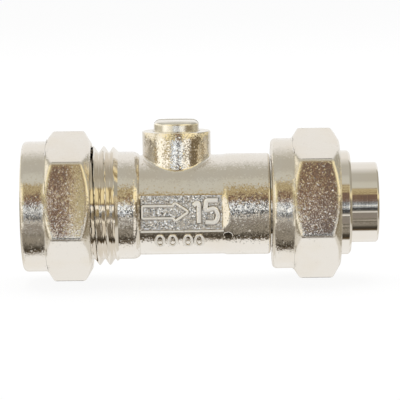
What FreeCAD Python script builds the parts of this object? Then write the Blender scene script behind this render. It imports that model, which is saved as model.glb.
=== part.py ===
import FreeCAD, Part
import os
import re
import Sketcher

# Straight 15 mm isolating valve: compression inlet, slotted ball valve, swivel-nut outlet
# Millimetres. Origin on the waterway axis at the pipe stop, +X along the flow, +Z up the stem
SIZES = {
    # Inlet socket for the pipe
    "pipe_radius": 7.5,
    "socket_gap": 0.1,
    "socket_depth": 11.9,
    # Inlet thread, drawn plain at its major radius
    "thread_radius": 10.4775,
    "thread_depth": 1.162,
    "thread_length": 10.7,
    # Outside of the forging
    "barrel_radius": 9.4,
    "barrel_round": 1.25,
    "waist_radius": 8.7,
    "waist_length": 14.5,
    "waist_bevel": 0.4,
    "tube_radius": 8.85,
    "tube_length": 7.8,
    "tube_end_round": 0.5,
    # Boss and stem
    "boss_radius": 5.95,
    "boss_height": 13.0,
    "boss_land": 0.55,
    "boss_root_fillet": 0.3,
    "boss_edge_chamfer": 0.15,
    "stem_radius": 4.0,
    "stem_stand": 1.95,
    "stem_running_gap": 0.05,
    "stem_chamfer_width": 0.7,
    "stem_chamfer_height": 0.5,
    "shoulder_step": 0.8,
    "shoulder_gap": 0.15,
    "shoulder_thickness": 1.1,
    "shoulder_ball_gap": 0.2,
    "thrust_washer_thickness": 0.55,
    "thrust_washer_gap": 0.05,
    "o_ring_groove_depth": 1.05,
    "o_ring_groove_width": 1.6,
    "o_ring_gap": 0.02,
    "driver_slot_width": 1.6,
    "driver_slot_depth": 1.9,
    "tang_length": 7.0,
    "tang_thickness": 2.4,
    "tang_gap": 0.1,
    # Marking panel on the front of the waist, and the plain one behind it
    "panel_depth": 0.55,
    "panel_lean": 3.0,
    "panel_start": 0.15,
    "panel_end": 0.2,
    "panel_rise": 1.0,
    "panel_start_bevel": 0.4,
    "panel_end_bevel": 1.7,
    # Ball and seats
    "ball_radius": 6.5,
    "ball_wall": 2.25,
    "ball_slot_depth": 1.6,
    "cavity_gap": 0.2,
    "port_radius": 5.0,
    "stop_wall": 2.8,
    "seat_length": 2.3,
    "seat_backing": 1.54,
    "seat_bore_step": 0.35,
    "seat_rim_gap": 0.1,
    "seat_ball_gap": 0.05,
    # Outlet tail
    "tail_thread_radius": 7.2,
    "tail_thread_gap": 0.05,
    "tail_pilot_gap": 0.15,
    "tail_pilot_length": 1.3,
    "tail_relief": 0.2,
    "neck_step": 0.3,
    "neck_length": 11.4,
    "flange_thread_gap": 0.2155,
    "flange_thickness": 2.6,
    "flange_chamfer": 0.4,
    "nose_radius": 7.0,
    "nose_length": 4.8,
    "nose_chamfer": 0.3,
    # Hexagon nuts
    "nut_wall": 0.9225,
    "nut_thread_gap": 0.1,
    "collar_step": 0.1,
    "collar_edge_round": 0.8,
    "nut_cone_length": 1.2,
    "nut_chamfer_length": 1.4,
    "nut_rim": 0.35,
    "nut_turn": 20.0,
    "compression_nut_length": 12.1,
    "compression_collar_length": 4.2,
    "compression_lip": 1.63,
    "compression_hole_gap": 0.25,
    "compression_cone_rise": 1.45,
    "compression_cone_length": 2.4,
    "swivel_nut_length": 11.9,
    "swivel_collar_length": 3.7,
    "swivel_shoulder": 2.8,
    "swivel_neck_gap": 0.3,
    "swivel_body_gap": 0.25,
    # Compression ring and the mouth that it seats in
    "olive_length": 6.0,
    "olive_bore_gap": 0.05,
    "olive_end_wall": 0.4,
    "olive_middle_wall": 1.2,
    "olive_gap": 0.1,
    "mouth_step": 0.25,
    "mouth_slope_gap": 0.01,
}

HEX_SIDES = 6
SHEET = "Sizes"

# Radii that follow from the sizes
SOCKET_RADIUS = "(pipe_radius + socket_gap)"
OLIVE_BORE = "(pipe_radius + olive_bore_gap)"
OLIVE_END_RADIUS = f"({OLIVE_BORE} + olive_end_wall)"
OLIVE_RADIUS = f"({OLIVE_BORE} + olive_middle_wall)"
MOUTH_RADIUS = f"({OLIVE_RADIUS} - mouth_step)"
COMPRESSION_HOLE = "(pipe_radius + compression_hole_gap)"
CAVITY_RADIUS = "(ball_radius + cavity_gap)"
BALL_BORE = "(ball_radius - ball_wall)"
SEAT_BORE = f"({BALL_BORE} + seat_bore_step)"
STEM_BORE = "(stem_radius + stem_running_gap)"
SHOULDER_RADIUS = "(stem_radius + shoulder_step)"
GROOVE_RADIUS = "(stem_radius - o_ring_groove_depth)"
TAIL_BORE = "(tail_thread_radius + tail_thread_gap)"
NECK_RADIUS = "(tail_thread_radius + neck_step)"
THREAD_ROOT_RADIUS = "(thread_radius - thread_depth)"
FLANGE_RADIUS = f"({THREAD_ROOT_RADIUS} - flange_thread_gap)"
NUT_THREAD_RADIUS = "(thread_radius + nut_thread_gap)"
NUT_FACE_RADIUS = f"({NUT_THREAD_RADIUS} + nut_rim)"
FLAT_DISTANCE = f"({NUT_THREAD_RADIUS} + nut_wall)"
CORNER_RADIUS = f"({FLAT_DISTANCE} * 2 / sqrt(3))"
COLLAR_RADIUS = f"({FLAT_DISTANCE} - collar_step)"
PANEL_DISTANCE = "(waist_radius - panel_depth)"
BARREL_DROP = "(barrel_radius - waist_radius)"
BARREL_ARC = f"((barrel_round ^ 2 + {BARREL_DROP} ^ 2) / (2 * abs({BARREL_DROP})))"

# Places along the axis, counted from the inlet mouth
SEAT_REACH = f"(sqrt((ball_radius + seat_ball_gap) ^ 2 - {SEAT_BORE} ^ 2) + seat_backing)"
POCKET = "(socket_depth + stop_wall)"
BALL = f"({POCKET} + {SEAT_REACH})"
SEAT_BACK = f"({BALL} + {SEAT_REACH})"
WAIST = f"({BALL} - boss_radius - boss_land)"
TUBE = f"({WAIST} + waist_length)"
BODY_END = f"({TUBE} + waist_bevel + tube_length)"

# Heights above the axis
SHOULDER_Z = "(ball_radius + shoulder_ball_gap)"
WASHER_Z = f"({SHOULDER_Z} + shoulder_thickness)"
LEDGE_Z = f"({WASHER_Z} + thrust_washer_thickness + thrust_washer_gap)"
GROOVE_LAND = f"((boss_height - {LEDGE_Z} - 2 * o_ring_groove_width) / 3)"
LOWER_GROOVE_Z = f"({LEDGE_Z} + {GROOVE_LAND})"
UPPER_GROOVE_Z = f"({LOWER_GROOVE_Z} + o_ring_groove_width + {GROOVE_LAND})"
STEM_TOP = "(boss_height + stem_stand)"
SLOT_FLOOR_Z = "(ball_radius - ball_slot_depth)"

# Seating of the compression ring and its nut, outwards from the inlet mouth
OLIVE_SLOPE = "((olive_middle_wall - olive_end_wall) / (olive_length / 2))"
MOUTH_CONE_DEPTH = f"(({MOUTH_RADIUS} - {SOCKET_RADIUS}) / ({OLIVE_SLOPE} - mouth_slope_gap))"
OLIVE_MIDDLE = f"(mouth_step / {OLIVE_SLOPE} + olive_gap)"
NUT_CONE_SLOPE = "(compression_cone_rise / compression_cone_length)"
NUT_CONE_SEAT = f"(({OLIVE_END_RADIUS} - {COMPRESSION_HOLE}) / {NUT_CONE_SLOPE} + olive_gap)"
COMPRESSION_NUT_REACH = f"({OLIVE_MIDDLE} + olive_length / 2 + {NUT_CONE_SEAT} + compression_lip)"

doc = FreeCAD.newDocument("isolating_valve")
sheet = doc.addObject("Spreadsheet::Sheet", SHEET)
for row, (alias, size) in enumerate(SIZES.items(), start=1):
    sheet.set(f"A{row}", alias)
    sheet.set(f"B{row}", str(size))
    sheet.setAlias(f"B{row}", alias)
doc.recompute()


def bound(expression):
    """The expression with every size named through the sheet."""
    return re.sub(r"[a-z_]+", lambda word: f"{SHEET}.{word[0]}" if word[0] in SIZES else word[0], expression)


def number(expression):
    """The value of an expression at the sheet's present sizes."""
    return float(sheet.evalExpression(bound(expression)))


def bind(item, **expressions):
    """Bind properties of an object to expressions of the sheet."""
    for name, expression in expressions.items():
        item.setExpression(name.replace("__", "."), bound(expression))


def new_body(label, along="0", turn="0"):
    """A body at its place on the waterway axis, turned about that axis."""
    body = doc.addObject("PartDesign::Body", label)
    body.Label = label
    body.Placement = FreeCAD.Placement(FreeCAD.Vector(), FreeCAD.Rotation(FreeCAD.Vector(1, 0, 0), number(turn)))
    bind(body, Placement__Base__x=f"{along} - socket_depth", Placement__Rotation__Angle=turn)
    return body


def origin_feature(body, role):
    return next(item for item in body.Origin.OriginFeatures if item.Role == role)


def new_sketch(body, name, plane):
    sketch = body.newObject("Sketcher::SketchObject", name)
    sketch.AttachmentSupport = [(origin_feature(body, plane), "")]
    sketch.MapMode = "FlatFace"
    return sketch


def pin_point(sketch, name, geometry, point, x, y):
    """Fix a sketch point at two bound distances from the sketch's origin."""
    for kind, letter, expression in (("DistanceX", "x", x), ("DistanceY", "y", y)):
        index = sketch.addConstraint(Sketcher.Constraint(kind, -1, 1, geometry, point, number(expression)))
        sketch.renameConstraint(index, f"{name}_{letter}")
        sketch.setExpression(f"Constraints.{name}_{letter}", bound(expression))


def arc_between(start, end, radius):
    """The short arc from start to end that bulges away from the axis, drawn anticlockwise from end to start."""
    chord = end - start
    side = FreeCAD.Vector(-chord.y, chord.x, 0).normalize()
    centre = (start + end) / 2 - side * (radius ** 2 - chord.Length ** 2 / 4) ** 0.5
    circle = Part.Circle(centre, FreeCAD.Vector(0, 0, 1), radius)
    return Part.ArcOfCircle(circle, circle.parameter(end), circle.parameter(start))


def draw_outline(sketch, corners, tag="corner"):
    """A closed outline of corners (x, y); a third entry is the radius of the arc that leads to that corner."""
    points = [FreeCAD.Vector(number(corner[0]), number(corner[1]), 0) for corner in corners]
    first = len(sketch.Geometry)
    count = len(corners)
    ends = []
    for place, start in enumerate(points):
        following = corners[(place + 1) % count]
        end = points[(place + 1) % count]
        if len(following) == 2:
            sketch.addGeometry(Part.LineSegment(start, end))
            ends.append((1, 2))
            continue
        sketch.addGeometry(arc_between(start, end, number(following[2])))
        ends.append((2, 1))
    for place in range(count):
        after = (place + 1) % count
        sketch.addConstraint(
            Sketcher.Constraint("Coincident", first + place, ends[place][1], first + after, ends[after][0])
        )
        pin_point(sketch, f"{tag}{place}", first + place, ends[place][0], corners[place][0], corners[place][1])
        if len(corners[after]) == 3:
            radius = corners[after][2]
            index = sketch.addConstraint(Sketcher.Constraint("Radius", first + place, number(radius)))
            sketch.renameConstraint(index, f"{tag}{place}_arc")
            sketch.setExpression(f"Constraints.{tag}{place}_arc", bound(radius))


def draw_circle(sketch, x, y, radius):
    centre = FreeCAD.Vector(number(x), number(y), 0)
    circle = sketch.addGeometry(Part.Circle(centre, FreeCAD.Vector(0, 0, 1), number(radius)))
    pin_point(sketch, "centre", circle, 3, x, y)
    index = sketch.addConstraint(Sketcher.Constraint("Radius", circle, number(radius)))
    sketch.renameConstraint(index, "radius")
    sketch.setExpression("Constraints.radius", bound(radius))


def draw_rectangle(sketch, low_x, low_y, high_x, high_y):
    draw_outline(sketch, [(low_x, low_y), (high_x, low_y), (high_x, high_y), (low_x, high_y)])


def turn_outline(body, name, corners, kind="PartDesign::Revolution", about="H_Axis"):
    """Turn an outline drawn on the upright plane about the waterway (H_Axis) or the stem (V_Axis)."""
    sketch = new_sketch(body, f"{name}_outline", "XZ_Plane")
    draw_outline(sketch, corners)
    feature = body.newObject(kind, name)
    feature.Profile = sketch
    feature.ReferenceAxis = (sketch, [about])
    feature.Angle = 360
    return feature


def cut_up(body, name, sketch, height=None):
    """Cut upwards from a sketch on the ground plane, right through or to a height."""
    pocket = body.newObject("PartDesign::Pocket", name)
    pocket.Profile = sketch
    pocket.Reversed = True
    if height is None:
        pocket.Type = "ThroughAll"
    else:
        pocket.Type = "Length"
        bind(pocket, Length=height)
    return pocket


def must_cut(feature):
    """Stop if a cut took nothing away."""
    doc.recompute()
    if feature.Shape.Volume >= feature.BaseFeature.Shape.Volume - 1e-6:
        raise RuntimeError(f"{feature.Name} cuts nothing")


def make_valve_body():
    body = new_body("valve_body")
    turn_outline(body, "forging", [
        ("0", "0"),
        ("0", THREAD_ROOT_RADIUS),
        ("thread_depth", "thread_radius"),
        ("thread_length - (thread_radius - barrel_radius)", "thread_radius"),
        ("thread_length", "barrel_radius"),
        (f"{WAIST} - barrel_round", "barrel_radius"),
        (WAIST, "waist_radius", BARREL_ARC),
        (TUBE, "waist_radius"),
        (f"{TUBE} + waist_bevel", "tube_radius"),
        (f"{BODY_END} - tube_end_round", "tube_radius"),
        (BODY_END, "tube_radius - tube_end_round", "tube_end_round"),
        (BODY_END, "0"),
    ])

    boss_sketch = new_sketch(body, "boss_circle", "XY_Plane")
    draw_circle(boss_sketch, BALL, "0", "boss_radius")
    boss = body.newObject("PartDesign::Pad", "boss")
    boss.Profile = boss_sketch
    bind(boss, Length="boss_height")
    doc.recompute()

    root = body.newObject("PartDesign::Fillet", "boss_root")
    root.Base = (boss, boss_root_edges(boss.Shape))
    bind(root, Radius="boss_root_fillet")
    doc.recompute()
    rim = body.newObject("PartDesign::Chamfer", "boss_edge")
    rim.Base = (root, boss_rim_edges(root.Shape))
    bind(rim, Size="boss_edge_chamfer")

    panels = new_sketch(body, "panel_outlines", "XY_Plane")
    panels.AttachmentOffset = FreeCAD.Placement(
        FreeCAD.Vector(), FreeCAD.Rotation(FreeCAD.Vector(1, 0, 0), number("panel_lean"))
    )
    bind(panels, AttachmentOffset__Rotation__Angle="panel_lean")
    for side, tag in ((-1, "front"), (1, "back")):
        flat = f"{side} * {PANEL_DISTANCE}"
        outside = f"{side} * ({PANEL_DISTANCE} + panel_rise)"
        draw_outline(panels, [
            (f"{WAIST} + panel_start", flat),
            (f"{TUBE} - panel_end", flat),
            (f"{TUBE} - panel_end + panel_end_bevel", outside),
            (f"{WAIST} + panel_start - panel_start_bevel", outside),
        ], tag)
    panel_cut = body.newObject("PartDesign::Pocket", "panels")
    panel_cut.Profile = panels
    panel_cut.SideType = "Symmetric"
    bind(panel_cut, Length="4 * waist_radius")
    must_cut(panel_cut)

    waterway = turn_outline(body, "waterway", [
        ("0", "0"),
        ("0", MOUTH_RADIUS),
        (MOUTH_CONE_DEPTH, SOCKET_RADIUS),
        ("socket_depth", SOCKET_RADIUS),
        ("socket_depth", "port_radius"),
        (POCKET, "port_radius"),
        (POCKET, CAVITY_RADIUS),
        (f"{SEAT_BACK} + tail_pilot_length - tail_relief", CAVITY_RADIUS),
        (f"{SEAT_BACK} + tail_pilot_length - tail_relief", TAIL_BORE),
        (BODY_END, TAIL_BORE),
        (BODY_END, "0"),
    ], kind="PartDesign::Groove")
    must_cut(waterway)

    for name, radius, height in (
        ("stem_bore", STEM_BORE, None),
        ("shoulder_pocket", f"{SHOULDER_RADIUS} + shoulder_gap", LEDGE_Z),
    ):
        sketch = new_sketch(body, f"{name}_circle", "XY_Plane")
        draw_circle(sketch, BALL, "0", radius)
        must_cut(cut_up(body, name, sketch, height))
    return body


def boss_root_edges(shape):
    """The edges where the boss meets the waist."""
    found = []
    for index, edge in enumerate(shape.Edges, start=1):
        points = edge.discretize(5)
        reach = [((p.x - number(BALL)) ** 2 + p.y ** 2) ** 0.5 for p in points]
        on_wall = all(abs(r - number("boss_radius")) < 1e-3 for r in reach)
        below_top = min(p.z for p in points) < number("boss_height") - 1e-3
        if on_wall and below_top and not isinstance(edge.Curve, Part.Line):
            found.append(f"Edge{index}")
    return found


def boss_rim_edges(shape):
    """The edges round the boss's top face."""
    return [
        f"Edge{index}"
        for index, edge in enumerate(shape.Edges, start=1)
        if all(abs(p.z - number("boss_height")) < 1e-3 for p in edge.discretize(5))
    ]


def make_outlet_tail():
    body = new_body("outlet_tail", SEAT_BACK)
    seat = f"({BODY_END} - {SEAT_BACK})"
    flange = f"({seat} + neck_length)"
    face = f"({flange} + flange_thickness)"
    turn_outline(body, "tail", [
        ("0", "port_radius"),
        ("0", f"{CAVITY_RADIUS} - tail_pilot_gap"),
        ("tail_pilot_length", f"{CAVITY_RADIUS} - tail_pilot_gap"),
        ("tail_pilot_length", "tail_thread_radius"),
        (seat, "tail_thread_radius"),
        (seat, NECK_RADIUS),
        (flange, NECK_RADIUS),
        (flange, f"{FLANGE_RADIUS} - flange_chamfer"),
        (f"{flange} + flange_chamfer", FLANGE_RADIUS),
        (f"{face} - flange_chamfer", FLANGE_RADIUS),
        (face, f"{FLANGE_RADIUS} - flange_chamfer"),
        (face, "nose_radius"),
        (f"{face} + nose_length - nose_chamfer", "nose_radius"),
        (f"{face} + nose_length", "nose_radius - nose_chamfer"),
        (f"{face} + nose_length", "port_radius + nose_chamfer"),
        (f"{face} + nose_length - nose_chamfer", "port_radius"),
    ])
    return body


def nut_outside(length, collar):
    """The outside of a nut blank, from its collar to its chamfered end."""
    return [
        ("0", f"{COLLAR_RADIUS} - collar_edge_round"),
        ("collar_edge_round", COLLAR_RADIUS, "collar_edge_round"),
        (collar, COLLAR_RADIUS),
        (f"{collar} + nut_cone_length", CORNER_RADIUS),
        (f"{length} - nut_chamfer_length", CORNER_RADIUS),
        (length, NUT_FACE_RADIUS),
    ]


def mill_flats(body):
    """Mill six flats along a nut blank."""
    sketch = new_sketch(body, "flat_outline", "YZ_Plane")
    draw_rectangle(sketch, f"-{CORNER_RADIUS}", FLAT_DISTANCE, CORNER_RADIUS, f"2 * {FLAT_DISTANCE}")
    flat = body.newObject("PartDesign::Pocket", "flat")
    flat.Profile = sketch
    flat.Type = "ThroughAll"
    flat.Reversed = True
    must_cut(flat)
    flats = body.newObject("PartDesign::PolarPattern", "flats")
    flats.Originals = [flat]
    flats.Axis = (origin_feature(body, "X_Axis"), [""])
    flats.Angle = 360
    flats.Occurrences = HEX_SIDES
    body.Tip = flats


def make_compression_nut():
    body = new_body("compression_nut", f"-{COMPRESSION_NUT_REACH}", "nut_turn")
    turn_outline(body, "blank", [
        ("0", COMPRESSION_HOLE),
        *nut_outside("compression_nut_length", "compression_collar_length"),
        ("compression_nut_length", NUT_THREAD_RADIUS),
        ("compression_lip + compression_cone_length", NUT_THREAD_RADIUS),
        ("compression_lip + compression_cone_length", f"{COMPRESSION_HOLE} + compression_cone_rise"),
        ("compression_lip", COMPRESSION_HOLE),
    ])
    mill_flats(body)
    return body


def make_swivel_nut():
    body = new_body("swivel_nut", f"{BODY_END} + swivel_body_gap", "nut_turn")
    turn_outline(body, "blank", [
        ("0", f"{NECK_RADIUS} + swivel_neck_gap"),
        *nut_outside("swivel_nut_length", "swivel_collar_length"),
        ("swivel_nut_length", "thread_radius"),
        ("swivel_nut_length - thread_depth", THREAD_ROOT_RADIUS),
        ("swivel_shoulder", THREAD_ROOT_RADIUS),
        ("swivel_shoulder", f"{NECK_RADIUS} + swivel_neck_gap"),
    ])
    mill_flats(body)
    return body


def make_olive():
    body = new_body("olive", f"-({OLIVE_MIDDLE} + olive_length / 2)")
    turn_outline(body, "ring", [
        ("0", OLIVE_BORE),
        ("0", OLIVE_END_RADIUS),
        ("olive_length / 2", OLIVE_RADIUS),
        ("olive_length", OLIVE_END_RADIUS),
        ("olive_length", OLIVE_BORE),
    ])
    return body


def make_ball():
    body = new_body("ball", BALL)
    sphere = body.newObject("PartDesign::AdditiveSphere", "sphere")
    bind(sphere, Radius="ball_radius")
    bore_sketch = new_sketch(body, "bore_circle", "YZ_Plane")
    draw_circle(bore_sketch, "0", "0", BALL_BORE)
    bore = body.newObject("PartDesign::Pocket", "bore")
    bore.Profile = bore_sketch
    bore.SideType = "Symmetric"
    bind(bore, Length="4 * ball_radius")
    must_cut(bore)

    slot_sketch = new_sketch(body, "slot_outline", "XZ_Plane")
    half = "(tang_thickness / 2 + tang_gap)"
    draw_rectangle(slot_sketch, f"-{half}", SLOT_FLOOR_Z, half, "2 * ball_radius")
    slot = body.newObject("PartDesign::Pocket", "slot")
    slot.Profile = slot_sketch
    slot.SideType = "Symmetric"
    bind(slot, Length="4 * ball_radius")
    must_cut(slot)
    return body


def make_seat(label, back, facing):
    """A ring seat; its face towards the ball is part of a sphere."""
    body = new_body(label, back)
    front = f"{facing} * seat_length"
    outer = f"{CAVITY_RADIUS} - seat_rim_gap"
    turn_outline(body, "ring", [
        ("0", SEAT_BORE),
        ("0", outer),
        (front, outer),
        (front, SEAT_BORE),
    ])
    hollow = body.newObject("PartDesign::SubtractiveSphere", "ball_face")
    bind(hollow, Radius="ball_radius + seat_ball_gap", Placement__Base__x=f"{facing} * {SEAT_REACH}")
    must_cut(hollow)
    return body


def make_stem():
    body = new_body("stem", BALL)
    turn_outline(body, "spindle", [
        ("0", SHOULDER_Z),
        (SHOULDER_RADIUS, SHOULDER_Z),
        (SHOULDER_RADIUS, WASHER_Z),
        ("stem_radius", WASHER_Z),
        ("stem_radius", LOWER_GROOVE_Z),
        (GROOVE_RADIUS, LOWER_GROOVE_Z),
        (GROOVE_RADIUS, f"{LOWER_GROOVE_Z} + o_ring_groove_width"),
        ("stem_radius", f"{LOWER_GROOVE_Z} + o_ring_groove_width"),
        ("stem_radius", UPPER_GROOVE_Z),
        (GROOVE_RADIUS, UPPER_GROOVE_Z),
        (GROOVE_RADIUS, f"{UPPER_GROOVE_Z} + o_ring_groove_width"),
        ("stem_radius", f"{UPPER_GROOVE_Z} + o_ring_groove_width"),
        ("stem_radius", f"{STEM_TOP} - stem_chamfer_height"),
        ("stem_radius - stem_chamfer_width", STEM_TOP),
        ("0", STEM_TOP),
    ], about="V_Axis")

    tang_sketch = new_sketch(body, "tang_outline", "XZ_Plane")
    half = "(tang_thickness / 2)"
    draw_rectangle(tang_sketch, f"-{half}", f"{SLOT_FLOOR_Z} + tang_gap", half, WASHER_Z)
    tang = body.newObject("PartDesign::Pad", "tang")
    tang.Profile = tang_sketch
    tang.SideType = "Symmetric"
    bind(tang, Length="tang_length")

    slot_sketch = new_sketch(body, "slot_outline", "YZ_Plane")
    half_slot = "(driver_slot_width / 2)"
    draw_rectangle(slot_sketch, f"-{half_slot}", f"{STEM_TOP} - driver_slot_depth", half_slot, f"2 * {STEM_TOP}")
    slot = body.newObject("PartDesign::Pocket", "driver_slot")
    slot.Profile = slot_sketch
    slot.SideType = "Symmetric"
    bind(slot, Length="4 * stem_radius")
    must_cut(slot)
    return body


def make_thrust_washer():
    body = new_body("stem_thrust_washer", BALL)
    turn_outline(body, "washer", [
        (STEM_BORE, WASHER_Z),
        (SHOULDER_RADIUS, WASHER_Z),
        (SHOULDER_RADIUS, f"{WASHER_Z} + thrust_washer_thickness"),
        (STEM_BORE, f"{WASHER_Z} + thrust_washer_thickness"),
    ], about="V_Axis")
    return body


def make_o_ring(label, groove):
    """A ring seal that fills its groove up to the boss's bore, a hair clear of both."""
    ring = doc.addObject("Part::Torus", label)
    ring.Label = label
    bind(
        ring,
        Radius1=f"({GROOVE_RADIUS} + {STEM_BORE}) / 2",
        Radius2=f"({STEM_BORE} - {GROOVE_RADIUS}) / 2 - o_ring_gap",
        Placement__Base__x=f"{BALL} - socket_depth",
        Placement__Base__z=f"{groove} + o_ring_groove_width / 2",
    )
    return ring


PIECES = [
    make_valve_body(),
    make_outlet_tail(),
    make_compression_nut(),
    make_swivel_nut(),
    make_olive(),
    make_ball(),
    make_seat("inlet_seat", POCKET, 1),
    make_seat("outlet_seat", SEAT_BACK, -1),
    make_stem(),
    make_thrust_washer(),
    make_o_ring("stem_o_ring_lower", LOWER_GROOVE_Z),
    make_o_ring("stem_o_ring_upper", UPPER_GROOVE_Z),
]
doc.recompute()

for item in doc.Objects:
    if "Invalid" in item.State or "Error" in item.State:
        raise RuntimeError(f"{item.Name} failed: {item.State}")
for piece in PIECES:
    if piece.Shape.isNull() or not piece.Shape.isValid() or len(piece.Shape.Solids) != 1:
        raise RuntimeError(f"{piece.Label} is not one valid solid")

os.makedirs("parts", exist_ok=True)
for piece in PIECES:
    piece.Shape.exportStep(f"parts/{piece.Label}.step")
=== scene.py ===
"""Isolating valve: the looks of a straight ball valve with a compression inlet and a swivel-nut outlet."""

import math

import bmesh
import bpy
import numpy as np
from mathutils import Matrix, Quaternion, Vector


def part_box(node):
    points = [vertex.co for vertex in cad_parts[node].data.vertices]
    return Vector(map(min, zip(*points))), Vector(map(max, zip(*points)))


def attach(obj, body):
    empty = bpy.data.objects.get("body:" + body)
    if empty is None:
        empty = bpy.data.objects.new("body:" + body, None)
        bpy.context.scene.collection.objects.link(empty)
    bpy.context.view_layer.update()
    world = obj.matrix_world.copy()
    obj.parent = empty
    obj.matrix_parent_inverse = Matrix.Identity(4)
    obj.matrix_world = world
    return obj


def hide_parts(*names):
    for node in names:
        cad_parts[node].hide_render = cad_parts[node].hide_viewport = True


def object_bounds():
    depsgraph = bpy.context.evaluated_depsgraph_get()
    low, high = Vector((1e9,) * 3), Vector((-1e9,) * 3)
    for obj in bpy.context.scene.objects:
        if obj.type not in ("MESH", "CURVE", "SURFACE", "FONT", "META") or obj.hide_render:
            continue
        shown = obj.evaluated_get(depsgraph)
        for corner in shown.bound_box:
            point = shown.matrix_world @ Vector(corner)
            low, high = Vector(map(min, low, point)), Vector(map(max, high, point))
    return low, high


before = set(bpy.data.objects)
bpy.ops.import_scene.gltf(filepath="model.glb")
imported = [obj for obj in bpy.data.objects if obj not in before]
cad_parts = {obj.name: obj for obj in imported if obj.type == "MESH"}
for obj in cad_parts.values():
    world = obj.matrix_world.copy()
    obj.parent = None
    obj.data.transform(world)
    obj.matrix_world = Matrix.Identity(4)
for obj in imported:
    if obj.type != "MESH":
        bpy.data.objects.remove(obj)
CAD_BOX = [list(corner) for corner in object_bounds()]

bl_info = {
    "name": "Isolating valve",
    "version": (1, 0, 0),
    "blender": (4, 5, 0),
    "location": "View3D > Sidebar > Valve",
    "description": "Models and finishes a plated isolating valve round its packed frame",
    "category": "Add Mesh",
}

MM = 0.001
MERGE = 1e-6
FULL_TURN = 2 * math.pi
ALONG = Vector((1, 0, 0))
UPRIGHT = Vector((0, 0, 1))
ARC_STEP = math.radians(12)
SMOOTH_ANGLE = math.radians(38)
HEX_SIDES = 6
HALVES = (0.5, 0.5, 0.5)

# Steps of a full turn, and rows of points along an edge or a round
BODY_STEPS = 288
NUT_STEPS = 240
TAIL_STEPS = 192
SMALL_STEPS = 144
RING_STEPS = 24
THREAD_ROWS = 100
SWIVEL_THREAD_ROWS = 84
WAIST_ROWS = 72
BEVEL_ROWS = 2
PANEL_END_ROWS = 8
CAVITY_ROWS = 20
SHOULDER_ROWS = 9
ROOT_ROWS = 5
FLAT_EDGE_ROWS = 4
LINE_ROWS = 4

# Lengths that no user needs to change
THREAD_SOFT = 0.1 * MM
THREAD_RUN_OUT = 0.25 * MM
BODY_EDGE = 0.12 * MM
TAIL_EDGE = 0.08 * MM
OLIVE_EDGE = 0.1 * MM
BLANK_MARGIN = 0.5 * MM
WINDOW_MARGIN = 0.3 * MM
WINDOW_TURN = math.radians(5)
POCKET_MARGIN = 0.7 * MM
MARK_SOFT = 0.25 * MM
RING_PLACES = [place * MM for place in (5.98, 8.15, 10.82, 12.76)]
RING_DOT_TURN = 0.02

# Textures: turn of the grain's frame, and scales of clouds and grain for 1 m
GRAIN_TURN = (0.61, 0.83, 0.37)
CLOUDS = 160.0
PEEL = 900.0
FINE_GRAIN = 5200.0
TURNED_CLOUDS = 220.0
TOOL_LINES = 9000.0

BODY_LOW, BODY_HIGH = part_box("valve_body")
TAIL_LOW, TAIL_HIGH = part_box("outlet_tail")
STEM_LOW, STEM_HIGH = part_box("stem")
OLIVE_LOW, OLIVE_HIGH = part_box("olive")
STEM_X = (STEM_LOW.x + STEM_HIGH.x) / 2


def size(millimetres, note):
    """A length that a user may change, given in millimetres."""
    return bpy.props.FloatProperty(description=note, default=millimetres * MM, precision=6, unit="LENGTH")


def angle(degrees, note):
    """An angle that a user may change, given in degrees."""
    return bpy.props.FloatProperty(description=note, default=math.radians(degrees), subtype="ANGLE")


def amount(value, note):
    """A plain number that a user may change."""
    return bpy.props.FloatProperty(description=note, default=value, precision=4)


def colour(value, note):
    """A colour that a user may change."""
    return bpy.props.FloatVectorProperty(
        description=note, default=value, size=3, min=0, max=1, subtype="COLOR"
    )


def labelled(group):
    """Label each property of a group with its own name in words."""
    for name, made in group.__annotations__.items():
        made.keywords["name"] = name.replace("_", " ").capitalize()
    return group


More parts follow.
